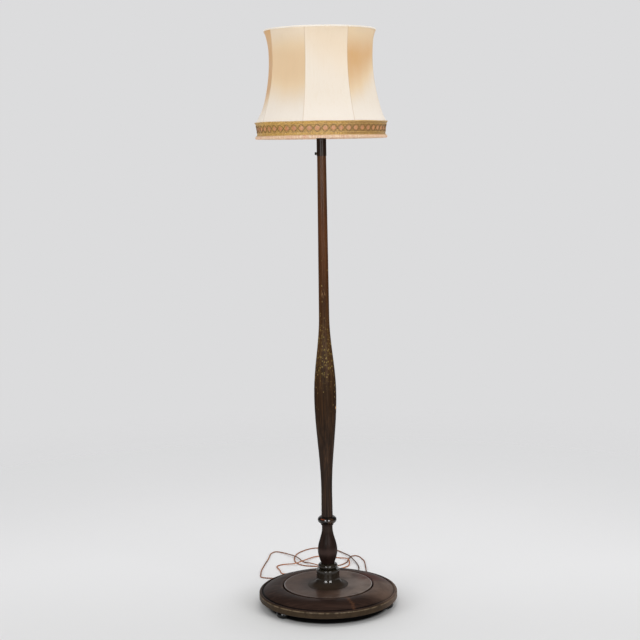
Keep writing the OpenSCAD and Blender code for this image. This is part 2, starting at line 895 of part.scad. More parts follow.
module bulb_cap() {
    color(steel)
        translate([0, 0, bulb_low_z])
            rotate_extrude()
                difference() {
                    polygon([[0, 0], [3.5, 0], [4.5, 1.2], [10.5, 4], [neck_r, 6], [neck_r, bulb_cap_h],
                        [0, bulb_cap_h]]);
                    for (i = [0:3])
                        translate([neck_r + 0.5, 8.5 + i * 3.6])
                            circle(r = 1.1);
                }
}

// Pear-shaped outline, smaller all round by inset
module bulb_outline(inset) {
    r = bulb_d / 2 - inset;
    join_a = -32;
    intersection() {
        union() {
            translate([0, globe_z])
                circle(r = r);
            polygon([[0, glass_z + inset], [neck_r - inset, glass_z + inset],
                [neck_r + 1 - inset, glass_z + 12], [r * cos(join_a), globe_z + r * sin(join_a)],
                [0, globe_z]]);
        }
        translate([0, glass_z])
            square([bulb_d, bulb_h + 1]);
    }
}

module bulb_glass() {
    color([0.96, 0.95, 0.90])
        rotate_extrude()
            difference() {
                bulb_outline(0);
                bulb_outline(glass_t);
            }
}

// Glass stem, two supports and the filament's bow
module bulb_filament() {
    bow_r = 9;
    bow_z = globe_z - 6;
    color(steel) {
        translate([0, 0, glass_z + glass_t])
            cylinder(r1 = 6, r2 = 2.5, h = 24);
        for (s = [-1, 1])
            translate([s * 2, 0, glass_z + 22])
                rotate([0, s * atan2(bow_r - 2, bow_z - glass_z - 22), 0])
                    cylinder(r = 0.4, h = norm([bow_r - 2, bow_z - glass_z - 22]));
        translate([0, 0, bow_z])
            rotate_extrude(angle = 180)
                translate([bow_r, 0])
                    circle(r = 0.5, $fn = 24);
    }
}

// ---- Shade -----------------------------------------------------------------

// Radius of the cover over a rib, at height z
function seam_r(z) =
    z > waist_z ? waist_r + (top_r - waist_r) * pow((z - waist_z) / (top_z - waist_z), 2)
    : z > band_z ? waist_r + (band_r - waist_r) * pow((waist_z - z) / (waist_z - band_z), 1.9)
    : let (t = (z - hem_z) / band_h)
      hem_r + (band_r - hem_r) * t - 4 * band_waist * t * (1 - t);

// How flat the panels are at height z: round at the rings, plane between them
function flat_at(z) =
    let (t = (z - band_z) / (flat_top_z - band_z))
    t > 0 && t < 1 ? panel_flat * pow(4 * t * (1 - t), 0.7) : 0;

// One level of the cover, shrunk all round by inset
function level(z, inset) =
    let (r = seam_r(z) - inset, k = flat_at(z))
    [for (i = [0:turns - 1])
        let (rel = (i % segs) * 2 * half_panel / segs - half_panel,
            q = r * (1 - k + k * cos(half_panel) / cos(rel)), a = rib_angle + 360 * i / turns)
        [q * cos(a), q * sin(a), z]];

// Closed sheet between an outer and an inner skin over the heights zs
module sheet_shell(zs, inset, t) {
    n = len(zs);
    size = n * turns;
    points = concat([for (z = zs) each level(z, inset)], [for (z = zs) each level(z, inset + t)]);
    skins = [for (j = [0:n - 2], i = [0:turns - 1])
        let (a = j * turns + i, b = j * turns + (i + 1) % turns)
        each [[a, a + turns, b + turns], [a, b + turns, b],
            [size + a, size + b, size + b + turns], [size + a, size + b + turns, size + a + turns]]];
    rims = [for (i = [0:turns - 1])
        let (a = i, b = (i + 1) % turns, c = size - turns + i, d = size - turns + (i + 1) % turns)
        each [[a, b, size + b], [a, size + b, size + a],
            [c, size + c, size + d], [c, size + d, d]]];
    polyhedron(points, concat(skins, rims));
}

cover_low = hem_z + binding_t + 0.2;
cover_high = top_z - binding_t - 0.2;
band_steps = 6;
panel_steps = 8;
cover_levels = concat([for (i = [0:band_steps - 1]) cover_low + (band_z - cover_low) * i / band_steps],
    [for (i = [0:panel_steps]) band_z + (flat_top_z - band_z) * i / panel_steps], [cover_high]);
lining_low = band_z + 4;
lining_levels = concat([for (i = [0:panel_steps]) lining_low + (flat_top_z - lining_low) * i / panel_steps],
    [cover_high]);

module shade_cover() {
    color(silk)
        sheet_shell(cover_levels, 0, cover_t);
}

module shade_lining() {
    color(peach)
        sheet_shell(lining_levels, lining_in, lining_t);
}

module wire_ring(r, z) {
    color(steel)
        translate([0, 0, z])
            rotate_extrude()
                translate([r, 0])
                    circle(d = ring_wire_d);
}

top_ring_r = seam_r(top_ring_z - ring_wire_d / 2) - edge_ring_in;
hem_ring_r = seam_r(hem_ring_z + ring_wire_d / 2) - edge_ring_in;
rib_low_z = hem_ring_z + ring_wire_d / 2;
rib_high_z = top_ring_z - ring_wire_d / 2;
rib_levels = concat([for (i = [0:3]) rib_low_z + (band_z - rib_low_z) * i / 4],
    [for (i = [0:12]) band_z + (rib_high_z - band_z) * i / 12]);

// A rib follows the seam of the cover between the hem ring and the top ring
module frame_ribs() {
    color(steel)
        for (i = [0:panels - 1])
            rotate([0, 0, rib_angle + 360 * i / panels])
                tube([for (z = rib_levels) [seam_r(z) - rib_in, 0, z]], rib_wire_d / 2, 6, [0, 1, 0]);
}

arm_out = band_ring_r - ring_wire_d / 2 - 0.05;
arm_in = fitter_d / 2 - 3;
arm_tilt = atan2(fitter_rise, arm_out - arm_in);

// Fitter ring with three arms to the band ring
module shade_spider() {
    color(steel)
        difference() {
            union() {
                ring(fitter_d / 2, 0, fitter_z, fitter_z + fitter_t);
                for (i = [0:2])
                    rotate([0, 0, rib_angle + 15 + 120 * i])
                        translate([arm_out, 0, band_z])
                            rotate([0, -90 + arm_tilt, 0])
                                cylinder(d = arm_wire_d, h = norm([arm_out - arm_in, fitter_rise]));
            }
            translate([0, 0, fitter_z - 10])
                cylinder(r = holder_r + 1.2, h = 20);
            ring(shade_ring_d / 2 + 0.4, 0, fitter_z - 6, fitter_z);
            ring(shade_ring_d / 2 + 0.4, 0, fitter_z + fitter_t, fitter_z + 8);
        }
}

// Folded strip over the upper edge of cover, ring and lining
module top_binding() {
    outer = top_r + 0.1;
    inner = (seam_r(flat_top_z) - lining_in - lining_t) * (1 - facet_sag) - 0.2;
    color(silk)
        rotate_extrude()
            difference() {
                round_box(inner - binding_t, outer + binding_t, top_z - top_fold, top_z, binding_t * 1.5);
                translate([inner, top_z - top_fold - 1])
                    square([outer - inner, top_fold + 1 - binding_t]);
            }
}

// Folded strip round the lower edge
module hem_binding() {
    outer = hem_r + 0.6;
    inner = hem_ring_r - ring_wire_d / 2 - 0.2;
    color(peach)
        rotate_extrude()
            difference() {
                round_box(inner - binding_t, outer + 3 * binding_t, hem_z, hem_z + hem_fold, binding_t * 1.5);
                translate([inner, hem_z + binding_t])
                    square([outer - inner, hem_fold + 1]);
            }
}

// Box from r0 to r1 and z0 to z1 with round corners
module round_box(r0, r1, z0, z1, r) {
    hull()
        for (x = [r0 + r, r1 - r], z = [z0 + r, z1 - r])
            translate([x, z])
                circle(r = r, $fn = 24);
}

braid_low = hem_z + hem_fold + 0.2;
braid_high = band_z + 1.2;
braid_gap = 0.3;

module braid_band() {
    n = 12;
    levels = [for (i = [0:n]) braid_low + (braid_high - braid_low) * i / n];
    skin = function (z) seam_r(min(z, band_z)) + braid_gap;
    color(gold)
        rotate_extrude()
            polygon(concat([for (z = levels) [skin(z), z]],
                [for (i = [n:-1:0]) [skin(levels[i]) + braid_t, levels[i]]]));
}

// ---- Flex on the floor and plug --------------------------------------------

lay_z = flex_r;
plug_z = plug_t / 2;

// Route of the flex behind the base, from the clip to the plug's neck. It lies
// on the floor, and rises in long humps where it passes over itself.
flex_route = [
    [93, 124, channel_z], [102, 136, 20], [118, 185, lay_z], [118, 360, lay_z], [111, 408, lay_z],
    [98, 440, lay_z], [80, 441, lay_z], [68, 414, lay_z], [60, 376, lay_z], [26, 342, lay_z],
    [-66, 346, lay_z], [-103, 396, lay_z], [-94, 480, lay_z], [-42, 534, lay_z], [22, 514, lay_z],
    [58, 460, 4], [78, 404, 7], [97, 314, lay_z], [62, 240, lay_z], [-172, 228, lay_z],
    [-206, 278, lay_z], [-188, 425, lay_z], [-180, 484, lay_z], [-155, 497, lay_z], [-101, 430, 6.8],
    [-76, 390, lay_z], [-46, 352, 6.8], [20, 310, lay_z], [64, 338, lay_z], [66, 394, 6.8],
    [34, 426, lay_z], [-30, 444, lay_z], [-70, 392, 6.8], [-102, 357, 6.8], [-136, 364, lay_z],
    [-158, 344, lay_z], [-148, 304, lay_z], [-140, 272, lay_z], [-116, 252, plug_z], [-88, 252, plug_z]];

module flex_lead() {
    color(copper_brown)
        tube([for (q = curve(flex_route, 2)) [q[0], q[1], max(q[2], lay_z)]], flex_r, 8, [0, 0, 1]);
}

plug_at = flex_route[len(flex_route) - 1];
plug_face_x = plug_neck_l + plug_l;
pin_sink = 9;
pin_shank_d = pin_d - 0.6;

// Flat two-pin plug that lies on its broad side
module plug_body() {
    color(black)
        translate(plug_at)
            difference() {
                union() {
                    rotate([0, 90, 0])
                        cylinder(r1 = flex_r + 0.9, r2 = 5, h = plug_neck_l + 1, $fn = 48);
                    hull() {
                        translate([plug_neck_l, 0, 0])
                            rotate([0, 90, 0])
                                cylinder(r = 5.2, h = 1, $fn = 32);
                        for (s = [-1, 1], x = [plug_neck_l + 12, plug_face_x - 1])
                            translate([x, s * (plug_w - plug_t) / 2, 0])
                                rotate([0, 90, 0])
                                    cylinder(d = plug_t, h = 1, $fn = 32);
                    }
                }
                for (s = [-1, 1])
                    translate([plug_face_x - pin_sink, s * pin_gap / 2, 0])
                        rotate([0, 90, 0])
                            cylinder(d = pin_shank_d + 0.04, h = pin_sink + 1);
            }
}

// Pins with a thinner shank inside the plug's body
module plug_pins() {
    color(brass)
        translate(plug_at)
            for (s = [-1, 1])
                translate([plug_face_x - pin_sink, s * pin_gap / 2, 0])
                    rotate([0, 90, 0]) {
                        cylinder(d = pin_shank_d, h = pin_sink + eps);
                        cylinder_from(pin_d / 2, pin_sink, pin_sink + pin_l - 1);
                        translate([0, 0, pin_sink + pin_l - 1])
                            cylinder(d1 = pin_d, d2 = pin_d - 1.6, h = 1);
                    }
}

// ---- Nodes -----------------------------------------------------------------

base_plate();
for (i = [0:2])
    foot(i);
foot_screws();
pedestal();
baluster();
shaft();
tie_tube();
base_washer();
base_nut();
flex_clip();
clip_screws();
inner_flex();
collar_base();
switch_collar();
switch_body();
switch_nut();
switch_wires();
switch_spindle();
switch_knob();
top_nipple();
lampholder_cap();
lampholder_insert();
terminal_screws();
centre_contact();
screw_sleeve();
lampholder_shell();
shade_ring(fitter_z - swivel_gap - shade_ring_h);  // shade_ring_lower
shade_ring(fitter_z + fitter_t + swivel_gap);  // shade_ring_upper
bulb_cap();
bulb_glass();
bulb_filament();
shade_spider();
wire_ring(top_ring_r, top_ring_z);  // frame_top_ring
wire_ring(band_ring_r, band_z);  // frame_band_ring
wire_ring(hem_ring_r, hem_ring_z);  // frame_hem_ring
frame_ribs();
shade_lining();
shade_cover();
top_binding();
braid_band();
hem_binding();
flex_lead();
plug_body();
plug_pins();
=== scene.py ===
import math
import random

import bpy
from mathutils import Matrix, Vector


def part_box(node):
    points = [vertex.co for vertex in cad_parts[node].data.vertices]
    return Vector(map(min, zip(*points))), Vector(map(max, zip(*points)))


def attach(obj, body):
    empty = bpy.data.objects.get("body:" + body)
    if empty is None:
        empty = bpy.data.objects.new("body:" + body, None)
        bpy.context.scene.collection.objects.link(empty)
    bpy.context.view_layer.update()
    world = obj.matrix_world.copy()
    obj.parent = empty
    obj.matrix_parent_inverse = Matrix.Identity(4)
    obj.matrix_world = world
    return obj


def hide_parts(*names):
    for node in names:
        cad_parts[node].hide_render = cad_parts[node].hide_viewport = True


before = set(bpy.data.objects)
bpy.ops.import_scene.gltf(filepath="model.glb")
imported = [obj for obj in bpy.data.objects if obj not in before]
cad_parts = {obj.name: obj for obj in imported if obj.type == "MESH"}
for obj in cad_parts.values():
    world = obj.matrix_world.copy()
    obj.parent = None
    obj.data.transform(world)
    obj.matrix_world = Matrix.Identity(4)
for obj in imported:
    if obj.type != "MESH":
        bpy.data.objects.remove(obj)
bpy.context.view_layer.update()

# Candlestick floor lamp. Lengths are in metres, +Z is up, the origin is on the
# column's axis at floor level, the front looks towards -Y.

mm = 0.001
full_turn = 2 * math.pi


def tint(code):
    """Linear colour from a display colour written as #rrggbb."""
    values = [int(code[i:i + 2], 16) / 255 for i in (1, 3, 5)]
    return tuple(v / 12.92 if v < 0.04045 else ((v + 0.055) / 1.055) ** 2.4 for v in values) + (1.0,)


# ---- Camera ------------------------------------------------------------------

image_width = 640
focal_pixels = 1349
sensor_width = 36.0
camera_place = (-0.0115, -3.7535, 1.293)
camera_pitch = math.radians(7.165)
camera_roll = math.radians(-0.9)


def make_camera():
    data = bpy.data.cameras.new("camera")
    data.sensor_width = sensor_width
    data.lens = focal_pixels / image_width * sensor_width
    camera = bpy.data.objects.new("camera", data)
    bpy.context.scene.collection.objects.link(camera)
    tilt = Matrix.Rotation(math.pi / 2 - camera_pitch, 4, "X")
    camera.matrix_world = Matrix.Translation(camera_place) @ tilt @ Matrix.Rotation(camera_roll, 4, "Z")
    bpy.context.scene.camera = camera


make_camera()


# ---- Mesh helpers -------------------------------------------------------------

def mesh_piece(name, points, faces, values=None):
    """Mesh object; values maps an attribute's name to one number for each point."""
    mesh = bpy.data.meshes.new(name)
    mesh.from_pydata(points, [], faces)
    mesh.polygons.foreach_set("use_smooth", [True] * len(mesh.polygons))
    for key, numbers in (values or {}).items():
        attribute = mesh.attributes.new(key, "FLOAT", "POINT")
        attribute.data.foreach_set("value", numbers)
    mesh.update()
    piece = bpy.data.objects.new(name, mesh)
    bpy.context.scene.collection.objects.link(piece)
    return piece


def grid_faces(rows, columns, start=0, closed_rows=False):
    """Quads between closed rows of points, each row holding the same number of points."""
    faces = []
    for j in range(rows if closed_rows else rows - 1):
        for i in range(columns):
            a = start + j * columns + i
            b = start + j * columns + (i + 1) % columns
            up = ((j + 1) % rows - j) * columns
            faces.append((a, b, b + up, a + up))
    return faces


def curve_through(points, steps):
    """Smooth curve through points, with steps pieces between two of them."""
    line = []
    last = len(points) - 1
    for i in range(last):
        a, b = points[max(i - 1, 0)], points[i]
        c, d = points[i + 1], points[min(i + 2, last)]
        for j in range(steps):
            t = j / steps
            line.append(0.5 * (2 * b + (c - a) * t + (2 * a - 5 * b + 4 * c - d) * t * t
                               + (3 * b - a - 3 * c + d) * t ** 3))
    return line + [points[last]]


def evenly(points, step):
    """Points at equal distances along a line, and the line's length."""
    lengths = [0.0]
    for a, b in zip(points, points[1:]):
        lengths.append(lengths[-1] + (b - a).length)
    count = max(2, round(lengths[-1] / step))
    result = []
    i = 0
    for k in range(count + 1):
        s = lengths[-1] * k / count
        while i < len(points) - 2 and lengths[i + 1] < s:
            i += 1
        share = (s - lengths[i]) / max(lengths[i + 1] - lengths[i], 1e-9)
        result.append(points[i].lerp(points[i + 1], min(share, 1.0)))
    return result, lengths[-1]


def ahead_at(line, i):
    """Direction of a line at its point number i."""
    return (line[min(i + 1, len(line) - 1)] - line[max(i - 1, 0)]).normalized()


def frames_along(line):
    """Tangent and two crosswise directions at each point, turning as little as possible."""
    result = []
    side = None
    for i in range(len(line)):
        ahead = ahead_at(line, i)
        if side is None:
            side = ahead.cross(Vector((0.3, 0.2, 1))).normalized()
        side = (side - ahead * side.dot(ahead)).normalized()
        result.append((ahead, side, ahead.cross(side)))
    return result


# ---- Flex ----------------------------------------------------------------------

flex_pitch = 13 * mm
flex_step = 1.5 * mm
core_r, core_offset = 1.45 * mm, 0.45 * mm
core_sides = 8
channel_z = 23.0
lay_z = 1.9
plug_z = 6.9

# The route of the flex on the floor, in millimetres, as in the construction
flex_route = [
    [93, 124, channel_z], [102, 136, 20], [118, 185, lay_z], [118, 360, lay_z], [111, 408, lay_z],
    [98, 440, lay_z], [80, 441, lay_z], [68, 414, lay_z], [60, 376, lay_z], [26, 342, lay_z],
    [-66, 346, lay_z], [-103, 396, lay_z], [-94, 480, lay_z], [-42, 534, lay_z], [22, 514, lay_z],
    [58, 460, 4], [78, 404, 7], [97, 314, lay_z], [62, 240, lay_z], [-172, 228, lay_z],
    [-206, 278, lay_z], [-188, 425, lay_z], [-180, 484, lay_z], [-155, 497, lay_z], [-101, 430, 6.8],
    [-76, 390, lay_z], [-46, 352, 6.8], [20, 310, lay_z], [64, 338, lay_z], [66, 394, 6.8],
    [34, 426, lay_z], [-30, 444, lay_z], [-70, 392, 6.8], [-102, 357, 6.8], [-136, 364, lay_z],
    [-158, 344, lay_z], [-148, 304, lay_z], [-140, 272, lay_z], [-116, 252, plug_z], [-88, 252, plug_z]]


def twisted_pair(name, route, step):
    """Two covered cores twisted round each other along a route."""
    line, length = evenly(route, step)
    points, faces, along, core = [], [], [], []
    for strand in (0, 1):
        start = len(points)
        for i, (_, u, v) in enumerate(frames_along(line)):
            s = length * i / (len(line) - 1)
            turn = full_turn * s / flex_pitch + math.pi * strand
            middle = line[i] + core_offset * (math.cos(turn) * u + math.sin(turn) * v)
            for k in range(core_sides):
                a = full_turn * k / core_sides + turn
                points.append(middle + core_r * (math.cos(a) * u + math.sin(a) * v))
                along.append(s)
                core.append(strand)
        faces += grid_faces(len(line), core_sides, start)
        faces.append(tuple(range(start + core_sides - 1, start - 1, -1)))
        faces.append(tuple(range(len(points) - core_sides, len(points))))
    piece = mesh_piece(name, points, faces, values={"along": along, "core": core})
    return piece, line, length


def make_flex():
    route = curve_through([Vector(p) * mm for p in flex_route], 10)
    route = [Vector((p.x, p.y, max(p.z, lay_z * mm))) for p in route]
    flex, line, length = twisted_pair("floor_flex", route, flex_step)
    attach(flex, "stand")
    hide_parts("flex_lead")
    return flex


def make_inner_flex():
    """The flex inside the stand: along the channel under the base and up the tube."""
    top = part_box("inner_flex")[1].z
    level = channel_z * mm
    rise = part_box("tie_tube")[0].z
    bend = rise - level
    way = Vector((0.6, 0.8, 0))
    exit_at = Vector((flex_route[0][0], flex_route[0][1], 0)) * mm
    route = [Vector((exit_at.x, exit_at.y, level))]
    for i in range(13):
        a = math.pi / 2 * i / 12
        route.append(way * (bend * (1 - math.sin(a))) + Vector((0, 0, level + bend * (1 - math.cos(a)))))
    route.append(Vector((0, 0, top)))
    flex, _, _ = twisted_pair("inner_twisted_flex", route, 2 * mm)
    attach(flex, "stand")
    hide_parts("inner_flex")
    return flex


# ---- Materials -----------------------------------------------------------------

class Nodes:
    """Adds nodes one by one to a node tree."""

    def __init__(self, tree, coordinates):
        self.nodes, self.links = tree.nodes, tree.links
        self.place = self.nodes.new("ShaderNodeTexCoord").outputs[coordinates]

    def put(self, socket, value):
        if isinstance(value, bpy.types.NodeSocket):
            self.links.new(value, socket)
        else:
            socket.default_value = value

    def math(self, operation, a, b=0.0):
        node = self.nodes.new("ShaderNodeMath")
        node.operation = operation
        for socket, value in zip(node.inputs, (a, b)):
            self.put(socket, value)
        return node.outputs[0]

    def split(self, vector=None):
        node = self.nodes.new("ShaderNodeSeparateXYZ")
        self.put(node.inputs[0], vector or self.place)
        return node.outputs

    def step(self, value, low, high):
        """Smooth step from 0 at low to 1 at high; low may be the larger."""
        node = self.nodes.new("ShaderNodeMapRange")
        node.interpolation_type = "SMOOTHSTEP"
        self.put(node.inputs["Value"], value)
        flipped = low > high
        node.inputs["From Min"].default_value = min(low, high)
        node.inputs["From Max"].default_value = max(low, high)
        node.inputs["To Min"].default_value = 1.0 if flipped else 0.0
        node.inputs["To Max"].default_value = 0.0 if flipped else 1.0
        return node.outputs[0]

    def band(self, value, low, high, soft):
        """1 between low and high, with soft edges."""
        return self.times(self.step(value, low - soft, low + soft),
                          self.step(value, high + soft, high - soft))

    def times(self, *factors):
        result = factors[0]
        for factor in factors[1:]:
            result = self.math("MULTIPLY", result, factor)
        return result

    def mix(self, share, a, b):
        node = self.nodes.new("ShaderNodeMix")
        node.data_type = "RGBA"
        inputs = {socket.identifier: socket for socket in node.inputs}
        self.put(inputs["Factor_Float"], share)
        self.put(inputs["A_Color"], node_colour(a))
        self.put(inputs["B_Color"], node_colour(b))
        return {socket.identifier: socket for socket in node.outputs}["Result_Color"]


class Paint(Nodes):
    """A material whose nodes are added in front of its shader."""

    def __init__(self, name, roughness=0.5, metallic=0.0):
        self.material = bpy.data.materials.new(name)
        self.material.use_nodes = True
        super().__init__(self.material.node_tree, "Object")
        self.shader = self.nodes["Principled BSDF"]
        self.set("Roughness", roughness)
        self.set("Metallic", metallic)

    def set(self, socket, value):
        self.put(self.shader.inputs[socket], value)

    def over(self, colour, tone, *shares):
        """Colour with some of a tone over it, as much as the shares multiplied."""
        return self.mix(self.times(*shares), colour, tone)

    def value(self, name):
        node = self.nodes.new("ShaderNodeAttribute")
        node.attribute_name = name
        return node.outputs["Fac"]

    def stretch(self, factors):
        node = self.nodes.new("ShaderNodeMapping")
        self.put(node.inputs["Vector"], self.place)
        node.inputs["Scale"].default_value = factors
        return node.outputs[0]

    def noise(self, scale, detail=3.0, stretch=None, roughness=0.55, distortion=0.0):
        node = self.nodes.new("ShaderNodeTexNoise")
        self.put(node.inputs["Vector"], self.stretch(stretch) if stretch else self.place)
        node.inputs["Scale"].default_value = scale
        node.inputs["Detail"].default_value = detail
        node.inputs["Roughness"].default_value = roughness
        node.inputs["Distortion"].default_value = distortion
        return node.outputs["Fac"]

    def spots(self, scale, stretch=None):
        """Distance to the nearest of many scattered points, and that point's own number."""
        node = self.nodes.new("ShaderNodeTexVoronoi")
        self.put(node.inputs["Vector"], self.stretch(stretch) if stretch else self.place)
        node.inputs["Scale"].default_value = scale
        return node.outputs["Distance"], self.split(node.outputs["Color"])[0]

    def near(self, point, radius, flat=1.0):
        """1 at a point, falling to 0 at radius; flat stretches it along Z."""
        node = self.nodes.new("ShaderNodeVectorMath")
        node.operation = "DISTANCE"
        self.put(node.inputs[0], self.stretch((1, 1, flat)))
        node.inputs[1].default_value = (point[0], point[1], point[2] * flat)
        return self.step(node.outputs["Value"], radius, radius * 0.35)

    def radius(self):
        x, y, _ = self.split()
        return self.math("SQRT", self.math("ADD", self.times(x, x), self.times(y, y)))

    def ramp(self, value, stops):
        node = self.nodes.new("ShaderNodeValToRGB")
        self.put(node.inputs[0], value)
        elements = node.color_ramp.elements
        while len(elements) < len(stops):
            elements.new(0.5)
        for element, (place, colour) in zip(elements, stops):
            element.position = place
            element.color = tint(colour)
        return node.outputs["Color"]

    def put_colour(self, colour):
        self.set("Base Color", node_colour(colour))

    def bump(self, height, depth, strength=1.0):
        node = self.nodes.new("ShaderNodeBump")
        self.put(node.inputs["Height"], height)
        node.inputs["Distance"].default_value = depth
        node.inputs["Strength"].default_value = strength
        self.set("Normal", node.outputs[0])


def node_colour(value):
    return tint(value) if isinstance(value, str) else value


# Places on the lamp where the finish changes, from the size of its pieces
base_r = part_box("base_plate")[1].x
edge_top = 41.6 * mm
ridge_line = 138 * mm
dish_r = 126.5 * mm
ring_low, ring_high = 237 * mm, 257 * mm
ring_middle = (ring_low + ring_high) / 2
shaft_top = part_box("collar_base")[1].z


def wood_grain(paint, stretch, dark, middle, light):
    """Colour of stained wood whose grain runs where stretch is small."""
    streaks = paint.noise(95, 5, stretch, 0.62, 0.4)
    broad = paint.noise(14, 2, stretch)
    tone = paint.math("ADD", paint.times(streaks, 0.65), paint.times(broad, 0.35))
    return paint.ramp(tone, [(0.3, dark), (0.5, middle), (0.72, light)]), streaks


def varnish(paint, streaks, coat, haze):
    """Clear finish over the wood; haze is the roughness of its surface."""
    paint.set("Coat Weight", coat)
    paint.set("Coat Roughness", haze)
    paint.set("Coat IOR", 1.5)
    paint.set("Specular IOR Level", 0.04)
    dust_and_sheen = paint.noise(900, 2)
    waves = paint.noise(28, 2)
    height = paint.math("ADD", paint.times(streaks, 0.4), paint.times(dust_and_sheen, 0.25))
    paint.bump(paint.math("ADD", height, paint.times(waves, 2.0)), 0.12 * mm, 0.4)
    paint.set("Roughness", paint.math("ADD", 0.42, paint.times(paint.noise(40, 3), 0.2)))


def paint_base():
    paint = Paint("base_varnish")
    colour, streaks = wood_grain(paint, (0.12, 1, 1), "#1e1410", "#2f211b", "#423028")
    r = paint.radius()
    x, y, z = paint.split()
    rough = paint.noise(55, 5)
    fine = paint.noise(260, 4)
    dish = paint.step(r, dish_r + 1 * mm, dish_r - 1 * mm)
    # the dish is lighter and mottled: partly wear, partly painted reflection of the pale surroundings
    cloudy = paint.step(paint.noise(18, 4), 0.30, 0.65)
    wear_and_sheen = paint.math("ADD", 0.28, paint.times(cloudy, 0.24))
    colour = paint.over(colour, "#5f4a3e", dish, wear_and_sheen)
    # painted reflection: the dish paler towards its right
    colour = paint.over(colour, "#74655b", dish, paint.step(x, -0.02, 0.10), cloudy, 0.7)
    # painted shade: the dish darker round the pedestal's foot
    colour = paint.over(colour, "#251c18", paint.step(r, 0.095, 0.055), 0.5)
    # painted reflection: a paler patch on the dish right of the pedestal
    colour = paint.over(colour, "#74665e", dish, paint.near((0.075, 0.01, 0.05), 0.06), 0.6)
    # the upright edge is olive brown and its upper corner rubbed to a tan line
    side = paint.step(r, base_r - 2.5 * mm, base_r - 0.8 * mm)
    colour = paint.mix(paint.times(side, 0.85), colour, paint.mix(rough, "#241c14", "#4c3e2c"))
    corner = paint.times(paint.step(r, base_r - 2 * mm, base_r - 0.8 * mm),
                         paint.band(z, edge_top - 5.6 * mm, edge_top - 3.0 * mm, 1.2 * mm))
    colour = paint.over(colour, "#8a7860", corner, paint.step(rough, 0.34, 0.60), 0.6)
    # painted highlight: a tan line along the rounded inner edge of the rim's bead
    inner_bead_highlight = paint.band(r, base_r - 7.5 * mm, base_r - 4.2 * mm, 1.2 * mm)
    colour = paint.over(colour, "#5d4630", inner_bead_highlight, paint.step(fine, 0.5, 0.62), 0.4)
    ridge = paint.band(r, ridge_line - 8 * mm, ridge_line - 1 * mm, 2 * mm)
    colour = paint.over(colour, "#584338", ridge, paint.step(rough, 0.42, 0.6), 0.35)
    # painted shade: the groove round the dish and the groove inside the rim's bead are painted near black
    groove_shade = paint.band(r, dish_r + 0.2 * mm, dish_r + 2.0 * mm, 0.5 * mm)
    colour = paint.over(colour, "#0d0807", groove_shade, 0.9)
    bead_groove_shade = paint.band(r, base_r - 13 * mm, base_r - 7.4 * mm, 0.8 * mm)
    colour = paint.over(colour, "#0d0908", bead_groove_shade, 0.9)
    # reddish stain towards the right rear, one long scuff and a chip at the front
    stain = paint.near((0.133, 0.062, 0.05), 0.07)
    colour = paint.over(colour, "#4c2219", stain, paint.step(rough, 0.3, 0.55), 0.75)
    beside = paint.math("ADD", paint.times(paint.math("SUBTRACT", x, 0.050), 0.944),
                        paint.times(paint.math("ADD", y, 0.116), 0.331))
    wander = paint.times(paint.math("SUBTRACT", rough, 0.5), 0.02)
    scuff = paint.times(paint.band(paint.math("ADD", beside, wander), -4 * mm, 4 * mm, 5 * mm),
                        paint.band(y, -0.186, -0.120, 0.008), paint.step(fine, 0.34, 0.56),
                        paint.step(r, base_r - 4 * mm, base_r - 8 * mm))
    colour = paint.over(colour, "#5e3d29", scuff, 0.7)
    # painted sheen: a pale patch on the right of the flange, kept off the red stain
    right_flange_sheen = paint.times(paint.near((0.155, -0.02, 0.05), 0.13),
                        paint.step(r, dish_r, dish_r + 8 * mm))
    right_flange_sheen = paint.times(right_flange_sheen, paint.math("SUBTRACT", 1.0, paint.times(stain, 0.9)))
    dust_and_sheen = paint.math("ADD", 0.3, paint.times(cloudy, 0.3))
    colour = paint.over(colour, "#766154", right_flange_sheen, dust_and_sheen)
    chip = paint.near((0.168, -0.087, 0.050), 0.006)
    colour = paint.over(colour, "#c2ad92", chip, paint.step(fine, 0.3, 0.4))
    specks = paint.spots(120)
    speck = paint.times(paint.step(specks[0], 0.16, 0.08), paint.step(specks[1], 0.93, 0.95))
    colour = paint.over(colour, "#75604a", speck, 0.6)
    paint.put_colour(colour)
    lip = paint.band(r, dish_r - 3 * mm, dish_r + 0.2 * mm, 0.4 * mm)
    gloss = paint.math("ADD", paint.times(lip, 0.8), paint.times(dish, 0.1))
    varnish(paint, streaks, paint.math("ADD", 0.1, gloss), 0.2)
    return paint.material


def paint_pedestal():
    paint = Paint("pedestal_varnish")
    colour, streaks = wood_grain(paint, (1, 1, 0.035), "#16130e", "#211c15", "#2f281d")
    rough = paint.noise(70, 4)
    z = paint.split()[2]
    bead = paint.band(z, 0.117, 0.119, 1.5 * mm)
    colour = paint.over(colour, "#4a3826", bead, paint.step(rough, 0.5, 0.65), 0.4)
    foot = paint.step(paint.radius(), 30 * mm, 43 * mm)
    colour = paint.over(colour, "#33281f", foot, 0.7)
    paint.put_colour(colour)
    varnish(paint, streaks, paint.math("SUBTRACT", 1.0, paint.times(foot, 0.9)), 0.08)
    return paint.material


